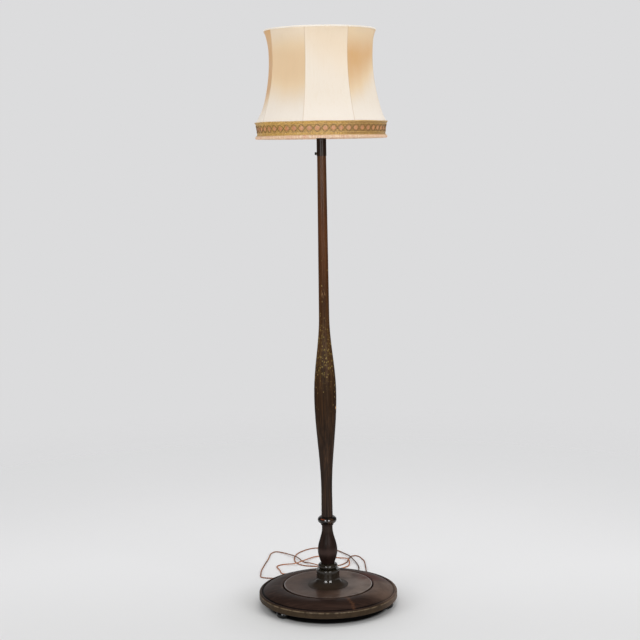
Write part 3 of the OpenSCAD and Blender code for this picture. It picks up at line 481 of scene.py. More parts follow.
def paint_baluster():
    paint = Paint("baluster_varnish")
    colour, streaks = wood_grain(paint, (1, 1, 0.035), "#150f0c", "#231915", "#362722")
    rough = paint.noise(60, 4)
    z = paint.split()[2]
    foot = paint.step(z, 0.150, 0.128)
    colour = paint.over(colour, "#1d100d", foot, 0.6)
    # painted sheen: a paler grey band round the belly
    belly_sheen = paint.band(z, 0.148, 0.164, 7 * mm)
    colour = paint.over(colour, "#4b3b37", belly_sheen, 0.5)
    neck = paint.band(z, 0.212, 0.232, 6 * mm)
    colour = paint.over(colour, "#3d342f", neck, 0.4)
    ring = paint.band(z, ring_low, ring_high, 1 * mm)
    colour = paint.over(colour, "#090706", ring, 0.95)
    rubbed = paint.band(z, ring_middle + 3.5 * mm, ring_middle + 7 * mm, 1 * mm)
    left_patch = paint.near((-0.0145, -0.024, ring_middle + 5 * mm), 0.012)
    left_patch = paint.times(left_patch, rubbed, paint.step(rough, 0.35, 0.5))
    colour = paint.over(colour, "#6f3a24", left_patch, 0.85)
    right_patch = paint.near((0.0115, -0.026, ring_middle), 0.014)
    colour = paint.over(colour, "#46301f", right_patch, paint.step(rough, 0.3, 0.5), 0.8)
    paint.put_colour(colour)
    varnish(paint, streaks, paint.math("ADD", 0.02, paint.times(ring, 0.98)), 0.06)
    return paint.material


def paint_shaft():
    paint = Paint("shaft_varnish")
    streaks = paint.noise(95, 5, (1, 1, 0.035), 0.62, 0.4)
    z = paint.split()[2]
    height = paint.math("ADD", paint.times(z, 1 / shaft_top), paint.times(paint.noise(6, 2), 0.08))
    colour = paint.ramp(height, [(0.26, "#312722"), (0.42, "#30241c"), (0.52, "#342315"), (0.62, "#4a331e"),
                                 (0.74, "#4d2f17"), (0.88, "#56321b"), (0.98, "#52331d")])
    colour = paint.over(colour, "#130a06", paint.step(streaks, 0.52, 0.36), 0.4)
    colour = paint.over(colour, "#7d5f49", paint.step(streaks, 0.54, 0.74), 0.2)
    pores = paint.noise(330, 3, (1, 1, 0.025))
    colour = paint.over(colour, "#160a05", paint.step(pores, 0.47, 0.38), 0.3)
    colour = paint.over(colour, "#8a5c35", paint.step(pores, 0.52, 0.64), 0.1)
    # gold and olive flecks, closest together round the swelling
    swelling = paint.band(z, 0.66, 0.80, 0.05)
    mottle = paint.step(paint.noise(150, 4, (1, 1, 0.6)), 0.50, 0.66)
    colour = paint.over(colour, "#66522a", mottle, swelling, 0.5)
    flecks, chance = paint.spots(190, (1, 1, 0.75))
    spot = paint.step(flecks, 0.46, 0.20)
    many = paint.times(spot, paint.step(chance, 0.50, 0.56), swelling)
    colour = paint.over(colour, "#8c763d", many, 0.75)
    rare = paint.times(spot, paint.step(chance, 0.10, 0.09), paint.band(z, 0.58, 0.98, 0.03))
    colour = paint.over(colour, "#8d7648", rare, 0.8)
    chip = paint.near((0.0295, -0.010, 0.573), 0.006)
    colour = paint.mix(chip, colour, "#b08a60")
    scratch = paint.times(paint.near((-0.001, -0.018, 0.896), 0.012, 0.6),
                          paint.step(paint.noise(420, 2, (1, 1, 0.15)), 0.55, 0.62))
    colour = paint.over(colour, "#8b6a48", scratch, 0.8)
    paint.put_colour(colour)
    bright = paint.step(z, 1.05, 1.20)
    varnish(paint, streaks, paint.math("ADD", 0.03, paint.times(bright, 0.07)), 0.25)
    return paint.material


def paint_lacquer(name, colour="#080707", wear_and_sheen="#1d1612", roughness=0.16, coat=1.0):
    paint = Paint(name, roughness)
    rough = paint.noise(150, 4)
    paint.put_colour(paint.mix(paint.times(paint.step(rough, 0.6, 0.72), 0.6), colour, wear_and_sheen))
    paint.set("Specular IOR Level", 0.06)
    paint.set("Coat Weight", coat)
    paint.set("Coat Roughness", 0.05)
    paint.set("Roughness", paint.math("ADD", roughness, paint.times(paint.noise(90, 3), 0.15)))
    paint.bump(paint.math("ADD", paint.noise(60, 2), paint.times(paint.noise(900, 2), 0.1)), 0.1 * mm, 0.35)
    return paint.material


def paint_metal(name, low, high, roughness=0.3):
    paint = Paint(name, roughness, 1.0)
    lines = paint.noise(420, 3, (1, 1, 12))
    paint.put_colour(paint.ramp(lines, [(0.3, low), (0.7, high)]))
    paint.set("Roughness", paint.math("ADD", roughness - 0.08, paint.times(paint.noise(120, 3), 0.2)))
    paint.bump(lines, 0.02 * mm, 0.5)
    return paint.material


def paint_resin(name, low, high, roughness=0.4):
    paint = Paint(name, roughness)
    paint.put_colour(paint.ramp(paint.noise(160, 4), [(0.35, low), (0.65, high)]))
    paint.set("Coat Weight", 0.3)
    paint.set("Coat Roughness", 0.2)
    paint.bump(paint.noise(700, 3), 0.04 * mm, 0.5)
    return paint.material


def paint_ceramic():
    paint = Paint("unglazed_ceramic", 0.55)
    paint.put_colour(paint.ramp(paint.noise(220, 5), [(0.3, "#cfc6b4"), (0.6, "#e2dccb")]))
    paint.bump(paint.noise(1400, 3), 0.05 * mm, 0.6)
    return paint.material


def paint_glass(name, colour, roughness, clear):
    paint = Paint(name, roughness)
    paint.put_colour(paint.ramp(paint.noise(60, 2), [(0.3, colour), (0.7, "#f6f4ee")]))
    paint.set("Transmission Weight", clear)
    paint.set("Roughness", paint.math("ADD", roughness, paint.times(paint.noise(300, 2), 0.08)))
    return paint.material


def paint_wire():
    """Cream paint over wire, a little yellowed."""
    paint = Paint("cream_painted_wire", 0.4)
    paint.put_colour(paint.ramp(paint.noise(130, 4), [(0.3, "#cdbf9f"), (0.7, "#e6dcc6")]))
    paint.set("Coat Weight", 0.25)
    paint.bump(paint.noise(600, 3), 0.05 * mm, 0.6)
    return paint.material


def paint_flex():
    """Braided covering whose colour is listed stretch by stretch along its length, from nearly black to
    bright orange.
    """
    paint = Paint("flex_covering", 0.62)
    tones_end = 2.55
    share = paint.math("DIVIDE", paint.value("along"), tones_end)
    stretch = paint.ramp(share, [(0.00, "#55301f"), (0.10, "#7e4f34"), (0.19, "#96561f"), (0.27, "#ad6127"),
                                 (0.33, "#8a4e22"), (0.38, "#24140e"), (0.45, "#2c1a12"), (0.55, "#955222"),
                                 (0.66, "#a0622d"), (0.71, "#54301b"), (0.77, "#bf6c27"), (1.00, "#b36629")])
    soil = paint.noise(22, 4)
    colour = paint.mix(paint.times(paint.step(soil, 0.52, 0.7), 0.55), stretch, "#2c1a14")
    plait = paint.noise(2600, 2)
    colour = paint.over(colour, "#cf8238", paint.step(plait, 0.45, 0.6), 0.3)
    colour = paint.over(colour, "#5a2f1c", paint.value("core"), 0.4)
    paint.put_colour(colour)
    paint.set("Sheen Weight", 0.35)
    paint.set("Sheen Roughness", 0.4)
    paint.bump(plait, 0.15 * mm, 0.8)
    return paint.material


def paint_node(material, *nodes):
    for name in nodes:
        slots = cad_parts[name].data.materials
        slots.clear()
        slots.append(material)


def paint_stand():
    paint_node(paint_base(), "base_plate")
    paint_node(paint_pedestal(), "pedestal")
    paint_node(paint_baluster(), "baluster")
    paint_node(paint_shaft(), "shaft")
    paint_node(paint_lacquer("foot_lacquer", coat=0.6), "foot_right", "foot_rear", "foot_left")
    paint_node(paint_lacquer("collar_enamel", "#291b12", "#3d2c1e", 0.4, 0.1),
               "collar_base", "switch_collar", "switch_nut")
    paint_node(paint_lacquer("knob_resin", "#0b0909", "#1c1512", 0.2, 0.6), "switch_knob")
    paint_node(paint_lacquer("plug_resin", "#100d0c", "#241c17", 0.3, 0.4), "plug_body")
    paint_node(paint_lacquer("holder_resin", "#120e0c", "#2a1f18", 0.28, 0.5),
               "lampholder_cap", "lampholder_shell", "shade_ring_lower", "shade_ring_upper")
    paint_node(paint_metal("zinc_plated_steel", "#8f8f8c", "#b9b9b4", 0.36),
               "foot_screws", "tie_tube", "base_washer", "base_nut", "flex_clip", "clip_screws")
    paint_node(paint_metal("bulb_cap_steel", "#a7a6a0", "#c9c8c2", 0.3), "bulb_cap")
    paint_node(paint_metal("turned_brass", "#a8842f", "#d6b45c", 0.27),
               "switch_spindle", "top_nipple", "terminal_screws", "centre_contact", "screw_sleeve")
    paint_node(paint_metal("bright_pin_brass", "#b08f3f", "#dfc06b", 0.22), "plug_pins")
    paint_node(paint_resin("switch_moulding", "#2c241d", "#403429"), "switch_body")
    paint_node(paint_ceramic(), "lampholder_insert")
    paint_node(paint_glass("frosted_bulb", "#efede6", 0.42, 0.45), "bulb_glass")
    paint_node(paint_glass("clear_stem", "#e4e6e4", 0.08, 0.9), "bulb_filament")
    paint_node(paint_resin("wire_covering", "#7d4b30", "#a0663f", 0.6), "switch_wires")
    paint_node(paint_wire(), "shade_spider", "frame_top_ring", "frame_band_ring", "frame_hem_ring",
               "frame_ribs")


flex_covering = paint_flex()
for cord_piece in (make_flex(), make_inner_flex()):
    cord_piece.data.materials.append(flex_covering)
paint_stand()


# ---- Shade -----------------------------------------------------------------------

hem_z = 1325 * mm
band_z = 1369.5 * mm
waist_z = 1540 * mm
flat_top_z = 1613.5 * mm
top_z = 1620 * mm
top_r = 153 * mm
waist_r = 147 * mm
band_r = 181 * mm
hem_r = 178.6 * mm
band_waist = 5 * mm
panel_flat = 0.95
panels = 8
half_panel = math.pi / panels
rib_angle = math.radians(29.4)
cover_t = 0.6 * mm
lining_in = 4.36 * mm
lining_t = 0.5 * mm
braid_low, braid_high = hem_z + 7.7 * mm, band_z + 1.2 * mm


def seam_r(z):
    """Radius of the cover over a rib, at height z."""
    if z > waist_z:
        return waist_r + (top_r - waist_r) * ((z - waist_z) / (top_z - waist_z)) ** 2
    if z > band_z:
        return waist_r + (band_r - waist_r) * ((waist_z - z) / (waist_z - band_z)) ** 1.9
    t = (z - hem_z) / (band_z - hem_z)
    return hem_r + (band_r - hem_r) * t - 4 * band_waist * t * (1 - t)


def panel_place(angle):
    """Number of the panel at an angle, and the angle from that panel's middle."""
    turned = (angle - rib_angle) % full_turn
    index = int(turned / (2 * half_panel)) % panels
    return index, turned - (2 * index + 1) * half_panel


def cover_r(angle, z):
    """Radius of the cover: round at the rings, flat in the middle of the panels."""
    t = (z - band_z) / (flat_top_z - band_z)
    flat = panel_flat * (4 * t * (1 - t)) ** 0.7 if 0 < t < 1 else 0.0
    _, rel = panel_place(angle)
    return seam_r(z) * (1 - flat + flat * math.cos(half_panel) / math.cos(rel))


# Browning and painted shade of each panel, counted from the first rib: how strong it is,
# how far up it starts between band and top, how much that line leans, how soft it is, and
# how much paler the cloth gets again below the top. The tan is partly browned silk and partly
# painted shade. Panels 3 to 6 face the front; the other four aren't known and have the same manner.
browning_and_shade = [(0.70, 0.45, 0.10, 0.18, 0.3), (0.55, 0.50, -0.08, 0.20, 0.3), (0.75, 0.42, 0.06, 0.18, 0.3),
            (1.00, 0.20, 0.00, 0.20, 0.1), (0.54, 0.30, -0.04, 0.22, 0.6), (0.22, 0.62, -0.12, 0.25, 0.0),
            (0.86, 0.42, 0.13, 0.24, 0.55), (0.80, 0.48, -0.10, 0.18, 0.3)]


def smooth(t):
    t = max(0.0, min(1.0, t))
    return t * t * (3 - 2 * t)


def browning_and_shade_at(angle, z):
    index, rel = panel_place(angle)
    strength, start, lean, soft, pale_top = browning_and_shade[index]
    t = (z - band_z) / (top_z - band_z)
    across = rel / half_panel
    edge = start + lean * across + 0.05 * across ** 2 + 0.008 * math.sin(9 * across)
    above = smooth((t - edge + soft) / (2 * soft))
    paler = 1 - pale_top * smooth((t - 0.68) / 0.3)
    return strength * above * paler


def seam_tone(angle, z):
    """1 over a rib, 0 from 1.2 mm beside it."""
    _, rel = panel_place(angle)
    beside = (half_panel - abs(rel)) * seam_r(z)
    return max(0.0, 1 - beside / (1.2 * mm))


def gathers(angle, z):
    """Shallow upright folds where the cloth is pulled over the band and the top."""
    low = math.exp(-max(z - band_z, 0) / (34 * mm))
    high = math.exp(-max(top_z - z, 0) / (12 * mm))
    wave = math.sin(96 * angle + 1.5 * math.sin(5 * angle)) * 0.6 + math.sin(151 * angle + 0.7)
    return wave * (0.17 * mm * low + 0.10 * mm * high)


def panel_angles(steps):
    """Angles round the shade, closer together beside the ribs."""
    result = []
    for k in range(panels):
        for i in range(steps):
            t = i / steps
            eased = t - 0.11 * math.sin(full_turn * t)
            result.append(rib_angle + (k + eased) * 2 * half_panel)
    return result


def cloth_shell(name, heights, angles, radius, thickness):
    """Closed thin sheet whose outer face has the given radius, a function of angle and height."""
    columns = len(angles)
    rows = len(heights)
    points = []
    tan_and_shade, seam = [], []
    for inset in (0, thickness):
        for z in heights:
            for a in angles:
                r = radius(a, z) - inset
                points.append((r * math.cos(a), r * math.sin(a), z))
                tan_and_shade.append(browning_and_shade_at(a, z))
                seam.append(seam_tone(a, z))
    size = rows * columns
    faces = grid_faces(rows, columns)
    faces += [tuple(reversed(f)) for f in grid_faces(rows, columns, size)]
    for i in range(columns):
        j = (i + 1) % columns
        top = size - columns
        faces.append((j, i, size + i, size + j))
        faces.append((top + i, top + j, size + top + j, size + top + i))
    return mesh_piece(name, points, faces, values={"tan_and_shade": tan_and_shade, "seam": seam})


def spread(low, high, steps):
    return [low + (high - low) * i / steps for i in range(steps + 1)]


def make_cover():
    heights = spread(hem_z + 1.0 * mm, band_z, 10)[:-1] + spread(band_z, flat_top_z, 60) + [top_z - 1.0 * mm]

    def radius(a, z):
        ridge = 0.28 * mm * seam_tone(a, z) ** 0.5 if z > band_z else 0.0
        fold = gathers(a, z) if z > band_z + 1 * mm else 0.0
        return cover_r(a, z) + ridge + fold

    cover = cloth_shell("cloth_cover", heights, panel_angles(40), radius, cover_t)
    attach(cover, "shade")
    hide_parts("shade_cover")
    return cover


def make_lining():
    heights = spread(band_z + 4 * mm, flat_top_z, 40) + [top_z - 1.0 * mm]
    lining = cloth_shell("cloth_lining", heights, panel_angles(16),
                         lambda a, z: cover_r(a, z) - lining_in, lining_t)
    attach(lining, "shade")
    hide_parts("shade_lining")
    return lining


def turned_strip(name, section, columns, wave=None):
    """Closed section of (radius, height) points carried round Z; wave shifts a point at an angle."""
    points = []
    count = len(section)
    for i in range(columns):
        a = full_turn * i / columns
        for k, (r, z) in enumerate(section):
            if wave:
                r, z = wave(a, k, r, z)
            points.append((r * math.cos(a), r * math.sin(a), z))
    faces = [tuple(reversed(f)) for f in grid_faces(columns, count, closed_rows=True)]
    return mesh_piece(name, points, faces)


def folded_section(middle, thickness):
    """Closed outline of a strip whose middle line is the given (radius, height) points."""
    line = curve_through([Vector((r, z, 0)) for r, z in middle], 4)
    outer, inner = [], []
    for i, p in enumerate(line):
        ahead = ahead_at(line, i)
        across = Vector((ahead.y, -ahead.x, 0)) * thickness / 2
        outer.append((p.x + across.x, p.y + across.y))
        inner.append((p.x - across.x, p.y - across.y))
    return outer + inner[::-1]


binding_t = 0.8 * mm
rim_columns, trim_columns, strip_columns = 900, 2080, 1440


def make_top_binding():
    """Thin strip folded over the upper edge."""
    out, back = top_r + 0.5 * mm, 145.9 * mm
    middle = [(out - 0.6 * mm, top_z - 4.2 * mm), (out - 0.2 * mm, top_z - 2.4 * mm),
              (out + 0.1 * mm, top_z - 1.0 * mm), (out - 1.4 * mm, top_z - 0.4 * mm),
              (back + 1.6 * mm, top_z - 0.4 * mm), (back, top_z - 1.2 * mm), (back, top_z - 6 * mm)]
    section = folded_section(middle, binding_t)

    def wave(a, k, r, z):
        return r + 0.12 * mm * math.sin(210 * a + 2 * math.sin(7 * a)), z + 0.10 * mm * math.sin(130 * a)

    piece = turned_strip("rim_fold", section, rim_columns, wave)
    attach(piece, "shade")
    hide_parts("top_binding")
    return piece


def make_hem_trim():
    """Gathered peach strip folded round the lower edge."""
    out, back = 181.2 * mm, 172.4 * mm
    middle = [(177.2 * mm, hem_z + 8.2 * mm), (180.2 * mm, hem_z + 7 * mm), (out, hem_z + 4.2 * mm),
              (out - 1 * mm, hem_z + 1.1 * mm), (out - 3.4 * mm, hem_z + 0.4 * mm),
              (back + 1.6 * mm, hem_z + 0.4 * mm), (back, hem_z + 1.6 * mm), (back, hem_z + 7 * mm)]
    section = folded_section(middle, binding_t)
    half = len(section) // 2

    def wave(a, k, r, z):
        share = min(k, len(section) - 1 - k) / half
        depth = math.sin(math.pi * min(share * 1.4, 1)) * (1 if share < 0.7 else 0.3)
        fold = math.sin(260 * a + 2.3 * math.sin(9 * a) + 1.3 * math.sin(23 * a))
        return r + 0.38 * mm * depth * fold, z + 0.18 * mm * depth * math.sin(190 * a + 1)

    piece = turned_strip("gathered_trim", section, trim_columns, wave)
    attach(piece, "shade")
    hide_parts("hem_binding")
    return piece


# ---- Woven braid --------------------------------------------------------------------

braid_t = 1.2 * mm
braid_gap = 0.3 * mm
braid_middle = (braid_low + braid_high) / 2
chain_links = 52
chain_height = 8.6 * mm


def braid_r(z):
    """Radius of the braid's face at height z."""
    return seam_r(min(z, band_z)) + braid_gap + braid_t


def braid_drift(angle, z):
    """How far the braid's edge wanders up or down, most at its upper edge."""
    return 0.35 * mm * math.sin(panels * (angle - rib_angle)) * (z - hem_z) / (band_z - hem_z)


def make_braid_strip():
    """Woven strip with a slightly wavy edge."""
    heights = spread(braid_low, braid_high, 30)
    edge = 0.9 * mm
    section = [(braid_r(z) - braid_t, z) for z in heights]
    for z in reversed(heights):
        near_edge = min(z - braid_low, braid_high - z)
        thinner = 0.4 * mm * max(0.0, 1 - near_edge / edge)
        section.append((braid_r(z) - thinner, z))

    def wave(a, k, r, z):
        weave = 0.10 * mm * math.sin(720 * a) if k > len(heights) else 0.0
        return r + weave, z + braid_drift(a, z)

    return turned_strip("braid_strip", section[::-1], strip_columns, wave)


def round_tube(place, steps, radius, sides, flat=1.0):
    """Points and faces of a closed tube along place(share), flattened away from the axis."""
    points = []
    for i in range(steps):
        p = place(i / steps)
        q = place((i + 1) / steps)
        ahead = (q - p).normalized()
        out = Vector((p.x, p.y, 0)).normalized()
        up = ahead.cross(out).normalized()
        for k in range(sides):
            a = full_turn * k / sides
            points.append(p + radius * (math.cos(a) * out * flat + math.sin(a) * up))
    return points, grid_faces(steps, sides, closed_rows=True)


def make_chain(name, phase):
    """One cord of the chain: it runs in waves and passes over and under the other one."""
    def place(share):
        a = full_turn * share
        swing = math.pi * chain_links * share + phase
        z = braid_middle + chain_height * math.sin(swing) * (1 - 0.12 * math.cos(2 * swing))
        lift = 0.75 * mm + 0.45 * mm * math.cos(swing)
        r = braid_r(z) + lift
        return Vector((r * math.cos(a), r * math.sin(a), z))

    points, faces = round_tube(place, chain_links * 20, 0.8 * mm, 8, 0.7)
    return mesh_piece(name, points, faces)


def make_border(name, z, radius, twist):
    """Cord along an edge of the braid, with a rope's fine lay."""
    steps, sides = 2080, 6

    def place(share):
        a = full_turn * share
        r = braid_r(z) + 0.2 * mm
        return Vector((r * math.cos(a), r * math.sin(a), z + braid_drift(a, z)))

    points, faces = round_tube(place, steps, radius, sides, 0.7)
    turned = []
    for i, p in enumerate(points):
        share = (i // sides) / steps
        swell = 1 + 0.12 * math.sin(full_turn * (twist * share + (i % sides) / sides))
        centre = place(share)
        turned.append(centre + (p - centre) * swell)
    return mesh_piece(name, turned, faces)


def make_ovals():
    """Padded ovals inside the links of the chain."""
    rng = random.Random(7)
    rings, around = 5, 20
    half_w, half_h, proud = 6.6 * mm, 5.8 * mm, 1.15 * mm
    points, faces, seeds = [], [], []
    for link in range(chain_links):
        a0 = full_turn * (link + 0.5) / chain_links
        seed = rng.random()
        start = len(points)
        for j in range(rings + 1):
            t = math.cos(math.pi / 2 * j / (rings + 1))
            rise = math.sin(math.pi / 2 * j / (rings + 1))
            for k in range(around):
                b = full_turn * k / around
                stitches = 1 + 0.03 * math.sin(9 * b)
                a = a0 + half_w * t * stitches * math.cos(b) / band_r
                z = braid_middle + half_h * t * stitches * math.sin(b)
                r = braid_r(z) - 0.1 * mm + proud * rise
                points.append((r * math.cos(a), r * math.sin(a), z))
                seeds.append(seed)
        faces += grid_faces(rings + 1, around, start)
        faces.append(tuple(range(start + rings * around, start + (rings + 1) * around)))
        faces.append(tuple(range(start + around - 1, start - 1, -1)))
    return mesh_piece("padded_ovals", points, faces, values={"seed": seeds})


def paint_silk(name, pale, tan, deep, seam_colour):
    paint = Paint(name, 0.55)
    tan_and_shade = paint.value("tan_and_shade")
    cloud = paint.noise(9, 3)
    # the tan ramp is partly browned silk and partly painted shade, deepest at its end
    share = paint.times(tan_and_shade, paint.math("ADD", 0.75, paint.times(cloud, 0.5)))
    colour = paint.ramp(share, [(0.0, pale), (0.42, "#ecd1ac"), (0.82, tan), (1.0, deep)])
    streaks = paint.noise(140, 3, (1, 1, 0.02))
    fine = paint.noise(520, 2, (1, 1, 0.015))
    tone = paint.math("ADD", paint.times(streaks, 0.6), paint.times(fine, 0.4))
    colour = paint.over(colour, "#dfc7a2", paint.step(tone, 0.48, 0.64), 0.12)
    low = paint.step(paint.split()[2], band_z + 0.08, band_z)
    colour = paint.over(colour, "#f5ede4", low, 0.5)
    colour = paint.mix(paint.times(paint.value("seam"), 0.55), colour, seam_colour)
    paint.put_colour(colour)
    paint.set("Sheen Weight", 0.15)
    paint.set("Sheen Roughness", 0.35)
    paint.set("Specular IOR Level", 0.3)
    slubs = paint.noise(900, 2, (1, 1, 0.3))
    height = paint.math("ADD", paint.times(fine, 0.7), paint.times(slubs, 0.3))
    paint.bump(height, 0.10 * mm, 0.6)
    return paint.material


def paint_thread(name, low, high, scale=700, roughness=0.5, other=None, share=0.0, seed=None):
    """Embroidery thread: fine lay, uneven colour and a slight shine."""
    paint = Paint(name, roughness)
    lay = paint.noise(scale, 3, (1, 1, 0.35))
    colour = paint.ramp(lay, [(0.3, low), (0.68, high)])
    if other:
        mask = paint.step(paint.noise(60, 4), 0.52, 0.64)
        colour = paint.mix(paint.times(mask, share), colour, other)
    if seed:
        colour = paint.mix(paint.times(paint.value("seed"), 0.45), colour, seed)
    paint.put_colour(colour)
    paint.set("Sheen Weight", 0.25)
    paint.set("Sheen Roughness", 0.3)
    paint.bump(lay, 0.25 * mm, 0.8)
    return paint.material


def paint_braid():
    """Woven gold: diagonal threads over a darker ground."""
    paint = Paint("woven_gold", 0.48)
    x, y, z = paint.split()
    angle = paint.math("ARCTAN2", y, x)
    band_mm, thread_turn = 178.0, 2.6
    along = paint.times(angle, band_mm, thread_turn)
    up = paint.times(z, 1000.0, thread_turn)
    weft = paint.math("SINE", paint.math("ADD", along, up))
    warp = paint.math("SINE", paint.math("SUBTRACT", along, up))
    cross = paint.math("MAXIMUM", weft, warp)
    threads = paint.step(cross, -0.2, 0.9)
    colour = paint.mix(threads, "#a2792d", "#e4b352")
    colour = paint.over(colour, "#c08e5c", paint.step(paint.noise(75, 4), 0.5, 0.66), 0.35)
    tufts = paint.noise(330, 3)
    colour = paint.over(colour, "#7f5c2a", paint.step(tufts, 0.50, 0.38), 0.5)
    colour = paint.over(colour, "#f0cf8c", paint.step(tufts, 0.54, 0.66), 0.5)
    centre = paint.band(z, braid_middle - 9.6 * mm, braid_middle + 9.6 * mm, 1 * mm)
    colour = paint.over(colour, "#aa8038", centre, 0.3)
    # the braid darker towards its right front
    right_front_darkening = paint.times(paint.step(x, 0.045, 0.085), paint.step(y, 0.02, -0.06))
    colour = paint.over(colour, "#7a5432", right_front_darkening, 0.45)
    paint.put_colour(colour)
    paint.set("Sheen Weight", 0.2)
    paint.bump(paint.math("ADD", cross, paint.noise(800, 2)), 0.18 * mm, 0.7)
    return paint.material


def paint_trim():
    paint = Paint("peach_strip", 0.6)
    folds = paint.noise(260, 3, (1, 1, 0.2))
    colour = paint.ramp(folds, [(0.3, "#d9a886"), (0.52, "#e8c5a3"), (0.72, "#f2dcc0")])
    blush = paint.step(paint.noise(35, 3), 0.5, 0.66)
    colour = paint.over(colour, "#dba48c", blush, 0.45)
    paint.put_colour(colour)
    paint.set("Sheen Weight", 0.2)
    paint.bump(folds, 0.3 * mm, 0.7)
    return paint.material


def make_shade():
    cover, lining = make_cover(), make_lining()
    rim, trim = make_top_binding(), make_hem_trim()
    strip = make_braid_strip()
    chains = [make_chain("chain_cord_a", 0.0), make_chain("chain_cord_b", math.pi)]
    borders = [make_border("border_cord_low", braid_low + 1.2 * mm, 1.3 * mm, 900),
               make_border("border_cord_high", braid_high - 1.2 * mm, 1.3 * mm, 900),
               make_border("inner_cord_low", braid_middle - 10.6 * mm, 0.8 * mm, 1200),
               make_border("inner_cord_high", braid_middle + 10.6 * mm, 0.8 * mm, 1200)]
    ovals = make_ovals()
    braid = [strip, *chains, *borders, ovals]
    for piece in braid:
        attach(piece, "shade")
    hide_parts("braid_band")
    silk = paint_silk("pleated_silk", "#eee2d2", "#e2b989", "#dca86a", "#bd966a")
    cover.data.materials.append(silk)
    lining.data.materials.append(paint_silk("lining_silk_cloth", "#efe0c6", "#d9b88a", "#cfa878", "#cfae80"))
    rim.data.materials.append(paint_thread("rim_silk", "#f4e6d2", "#fbf5ec", 300, 0.55))
    trim.data.materials.append(paint_trim())
    strip.data.materials.append(paint_braid())
    outline = paint_thread("olive_outline_thread", "#7a5c30", "#a67f46", 900, 0.5, "#8b5f3a", 0.4)
    gold = paint_thread("gold_cord_thread", "#b18a44", "#e8c078", 900, 0.42, "#97743a", 0.4)
    for piece in chains:
        piece.data.materials.append(outline)
    for piece in borders:
        piece.data.materials.append(gold)
    ovals.data.materials.append(paint_thread("rose_thread", "#ad6f45", "#d89660", 800, 0.5,
                                             "#a8624c", 0.3, "#deaa78"))


make_shade()


# ---- Floor and light --------------------------------------------------------------------

floor_grey = "#ececed"
back_grey = "#dcdcdd"
room_grey = "#4a4a4c"
fade_start, fade_end = 0.8, 3.0
lamp_distance = 3.39
lamp_height = 1.38
lamp_size = 1.6
glint_side = math.radians(21.5)
glint_power = 72.0
ambient = 0.64
lamp_aim = (0, 0, 0.8)
# Name, angle to the right of the front, power
front_lamps = (("left", -52, 27.0), ("right", 42, 30.0))
ceiling_size, ceiling_power = 2.4, 32.0
ceiling_place, ceiling_aim = (0.3, 0.2, 3.6), (0, 0, 0.6)


def make_floor():
    """Pale floor that fades into the background far from the lamp; painted shadow under and round the base.
    """
    half = 12
    corners = [(-half, -half, 0), (half, -half, 0), (half, half, 0), (-half, half, 0)]
    floor = mesh_piece("studio_floor", corners, [(0, 1, 2, 3)])
    paint = Paint("pale_floor", 0.9)
    # painted shadow: the floor nearly black under the base
    painted_shadow_under_base = paint.step(paint.radius(), base_r - 16 * mm, base_r - 30 * mm)
    # painted shadow: the floor a little darker round the base, most to its front left
    beside = paint.math("SUBTRACT", 1.0, paint.near((-0.03, -0.06, 0), 0.36))
    colour = paint.mix(beside, "#dcdcdb", floor_grey)
    # painted shade: the floor darker towards the front
    front = paint.step(paint.split()[1], 0.45, -0.45)
    colour = paint.over(colour, "#d6d6d6", front, 0.6)
    paint.put_colour(paint.mix(painted_shadow_under_base, colour, "#181716"))
    paint.set("Specular IOR Level", 0.1)
    clear = paint.nodes.new("ShaderNodeBsdfTransparent")
    blend = paint.nodes.new("ShaderNodeMixShader")
    paint.put(blend.inputs[0], paint.step(paint.radius(), fade_start, fade_end))
    paint.links.new(paint.shader.outputs[0], blend.inputs[1])
    paint.links.new(clear.outputs[0], blend.inputs[2])
    output = next(n for n in paint.nodes if n.type == "OUTPUT_MATERIAL")
    paint.links.new(blend.outputs[0], output.inputs["Surface"])
    floor.data.materials.append(paint.material)


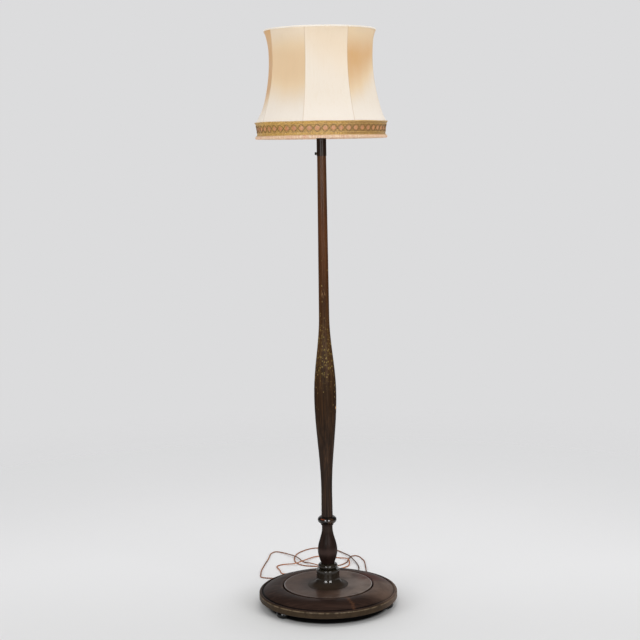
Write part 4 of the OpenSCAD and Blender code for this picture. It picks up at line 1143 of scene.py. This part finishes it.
def make_world():
    """White light from all round. The camera sees the pale backdrop; reflections see it
    behind the lamp and find a dim room elsewhere."""
    world = bpy.data.worlds.new("studio")
    bpy.context.scene.world = world
    world.use_nodes = True
    tree = Nodes(world.node_tree, "Generated")
    light = tree.nodes["Background"]
    light.inputs["Color"].default_value = (1.0, 1.0, 1.0, 1.0)
    light.inputs["Strength"].default_value = ambient
    path = tree.nodes.new("ShaderNodeLightPath").outputs
    plain = tree.math("MAXIMUM", path["Is Camera Ray"], path["Is Transmission Ray"])
    _, y, z = tree.split()
    backdrop = tree.times(tree.step(y, 0.7, 0.92), tree.step(z, 0.7, 0.5))
    shown = tree.nodes.new("ShaderNodeBackground")
    tree.put(shown.inputs["Color"], tree.mix(tree.math("MAXIMUM", plain, backdrop), room_grey, back_grey))
    blend = tree.nodes.new("ShaderNodeMixShader")
    tree.put(blend.inputs[0], tree.math("MAXIMUM", plain, path["Is Glossy Ray"]))
    tree.put(blend.inputs[1], light.outputs[0])
    tree.put(blend.inputs[2], shown.outputs[0])
    tree.put(tree.nodes["World Output"].inputs["Surface"], blend.outputs[0])


def make_light(name, shape, size, power, place, target):
    data = bpy.data.lights.new(name, "AREA")
    data.shape = shape
    data.size = size
    data.energy = power
    light = bpy.data.objects.new(name, data)
    bpy.context.scene.collection.objects.link(light)
    light.location = place
    aim = Vector(target) - Vector(place)
    light.rotation_euler = aim.to_track_quat("-Z", "Y").to_euler()
    return light


def front_place(side, distance):
    """Place in front of the lamp, at an angle to its right."""
    return distance * math.sin(side), -distance * math.cos(side), lamp_height


def make_lights():
    """Two front lamps and a soft ceiling give the light and don't show in reflections.
    Two discs in front show in reflections only."""
    for name, side, power in front_lamps:
        lamp = make_light("front_" + name + "_lamp", "DISK", lamp_size, power,
                          front_place(math.radians(side), lamp_distance), lamp_aim)
        lamp.visible_glossy = False
    for name, side in (("left", -glint_side), ("right", glint_side)):
        glint = make_light("front_" + name + "_disc", "DISK", lamp_size, glint_power,
                           front_place(side, lamp_distance), lamp_aim)
        glint.visible_diffuse = False
    ceiling = make_light("ceiling_lamp", "SQUARE", ceiling_size, ceiling_power,
                         ceiling_place, ceiling_aim)
    ceiling.visible_glossy = False


make_floor()
make_world()
make_lights()
bpy.context.scene.view_settings.view_transform = "Standard"
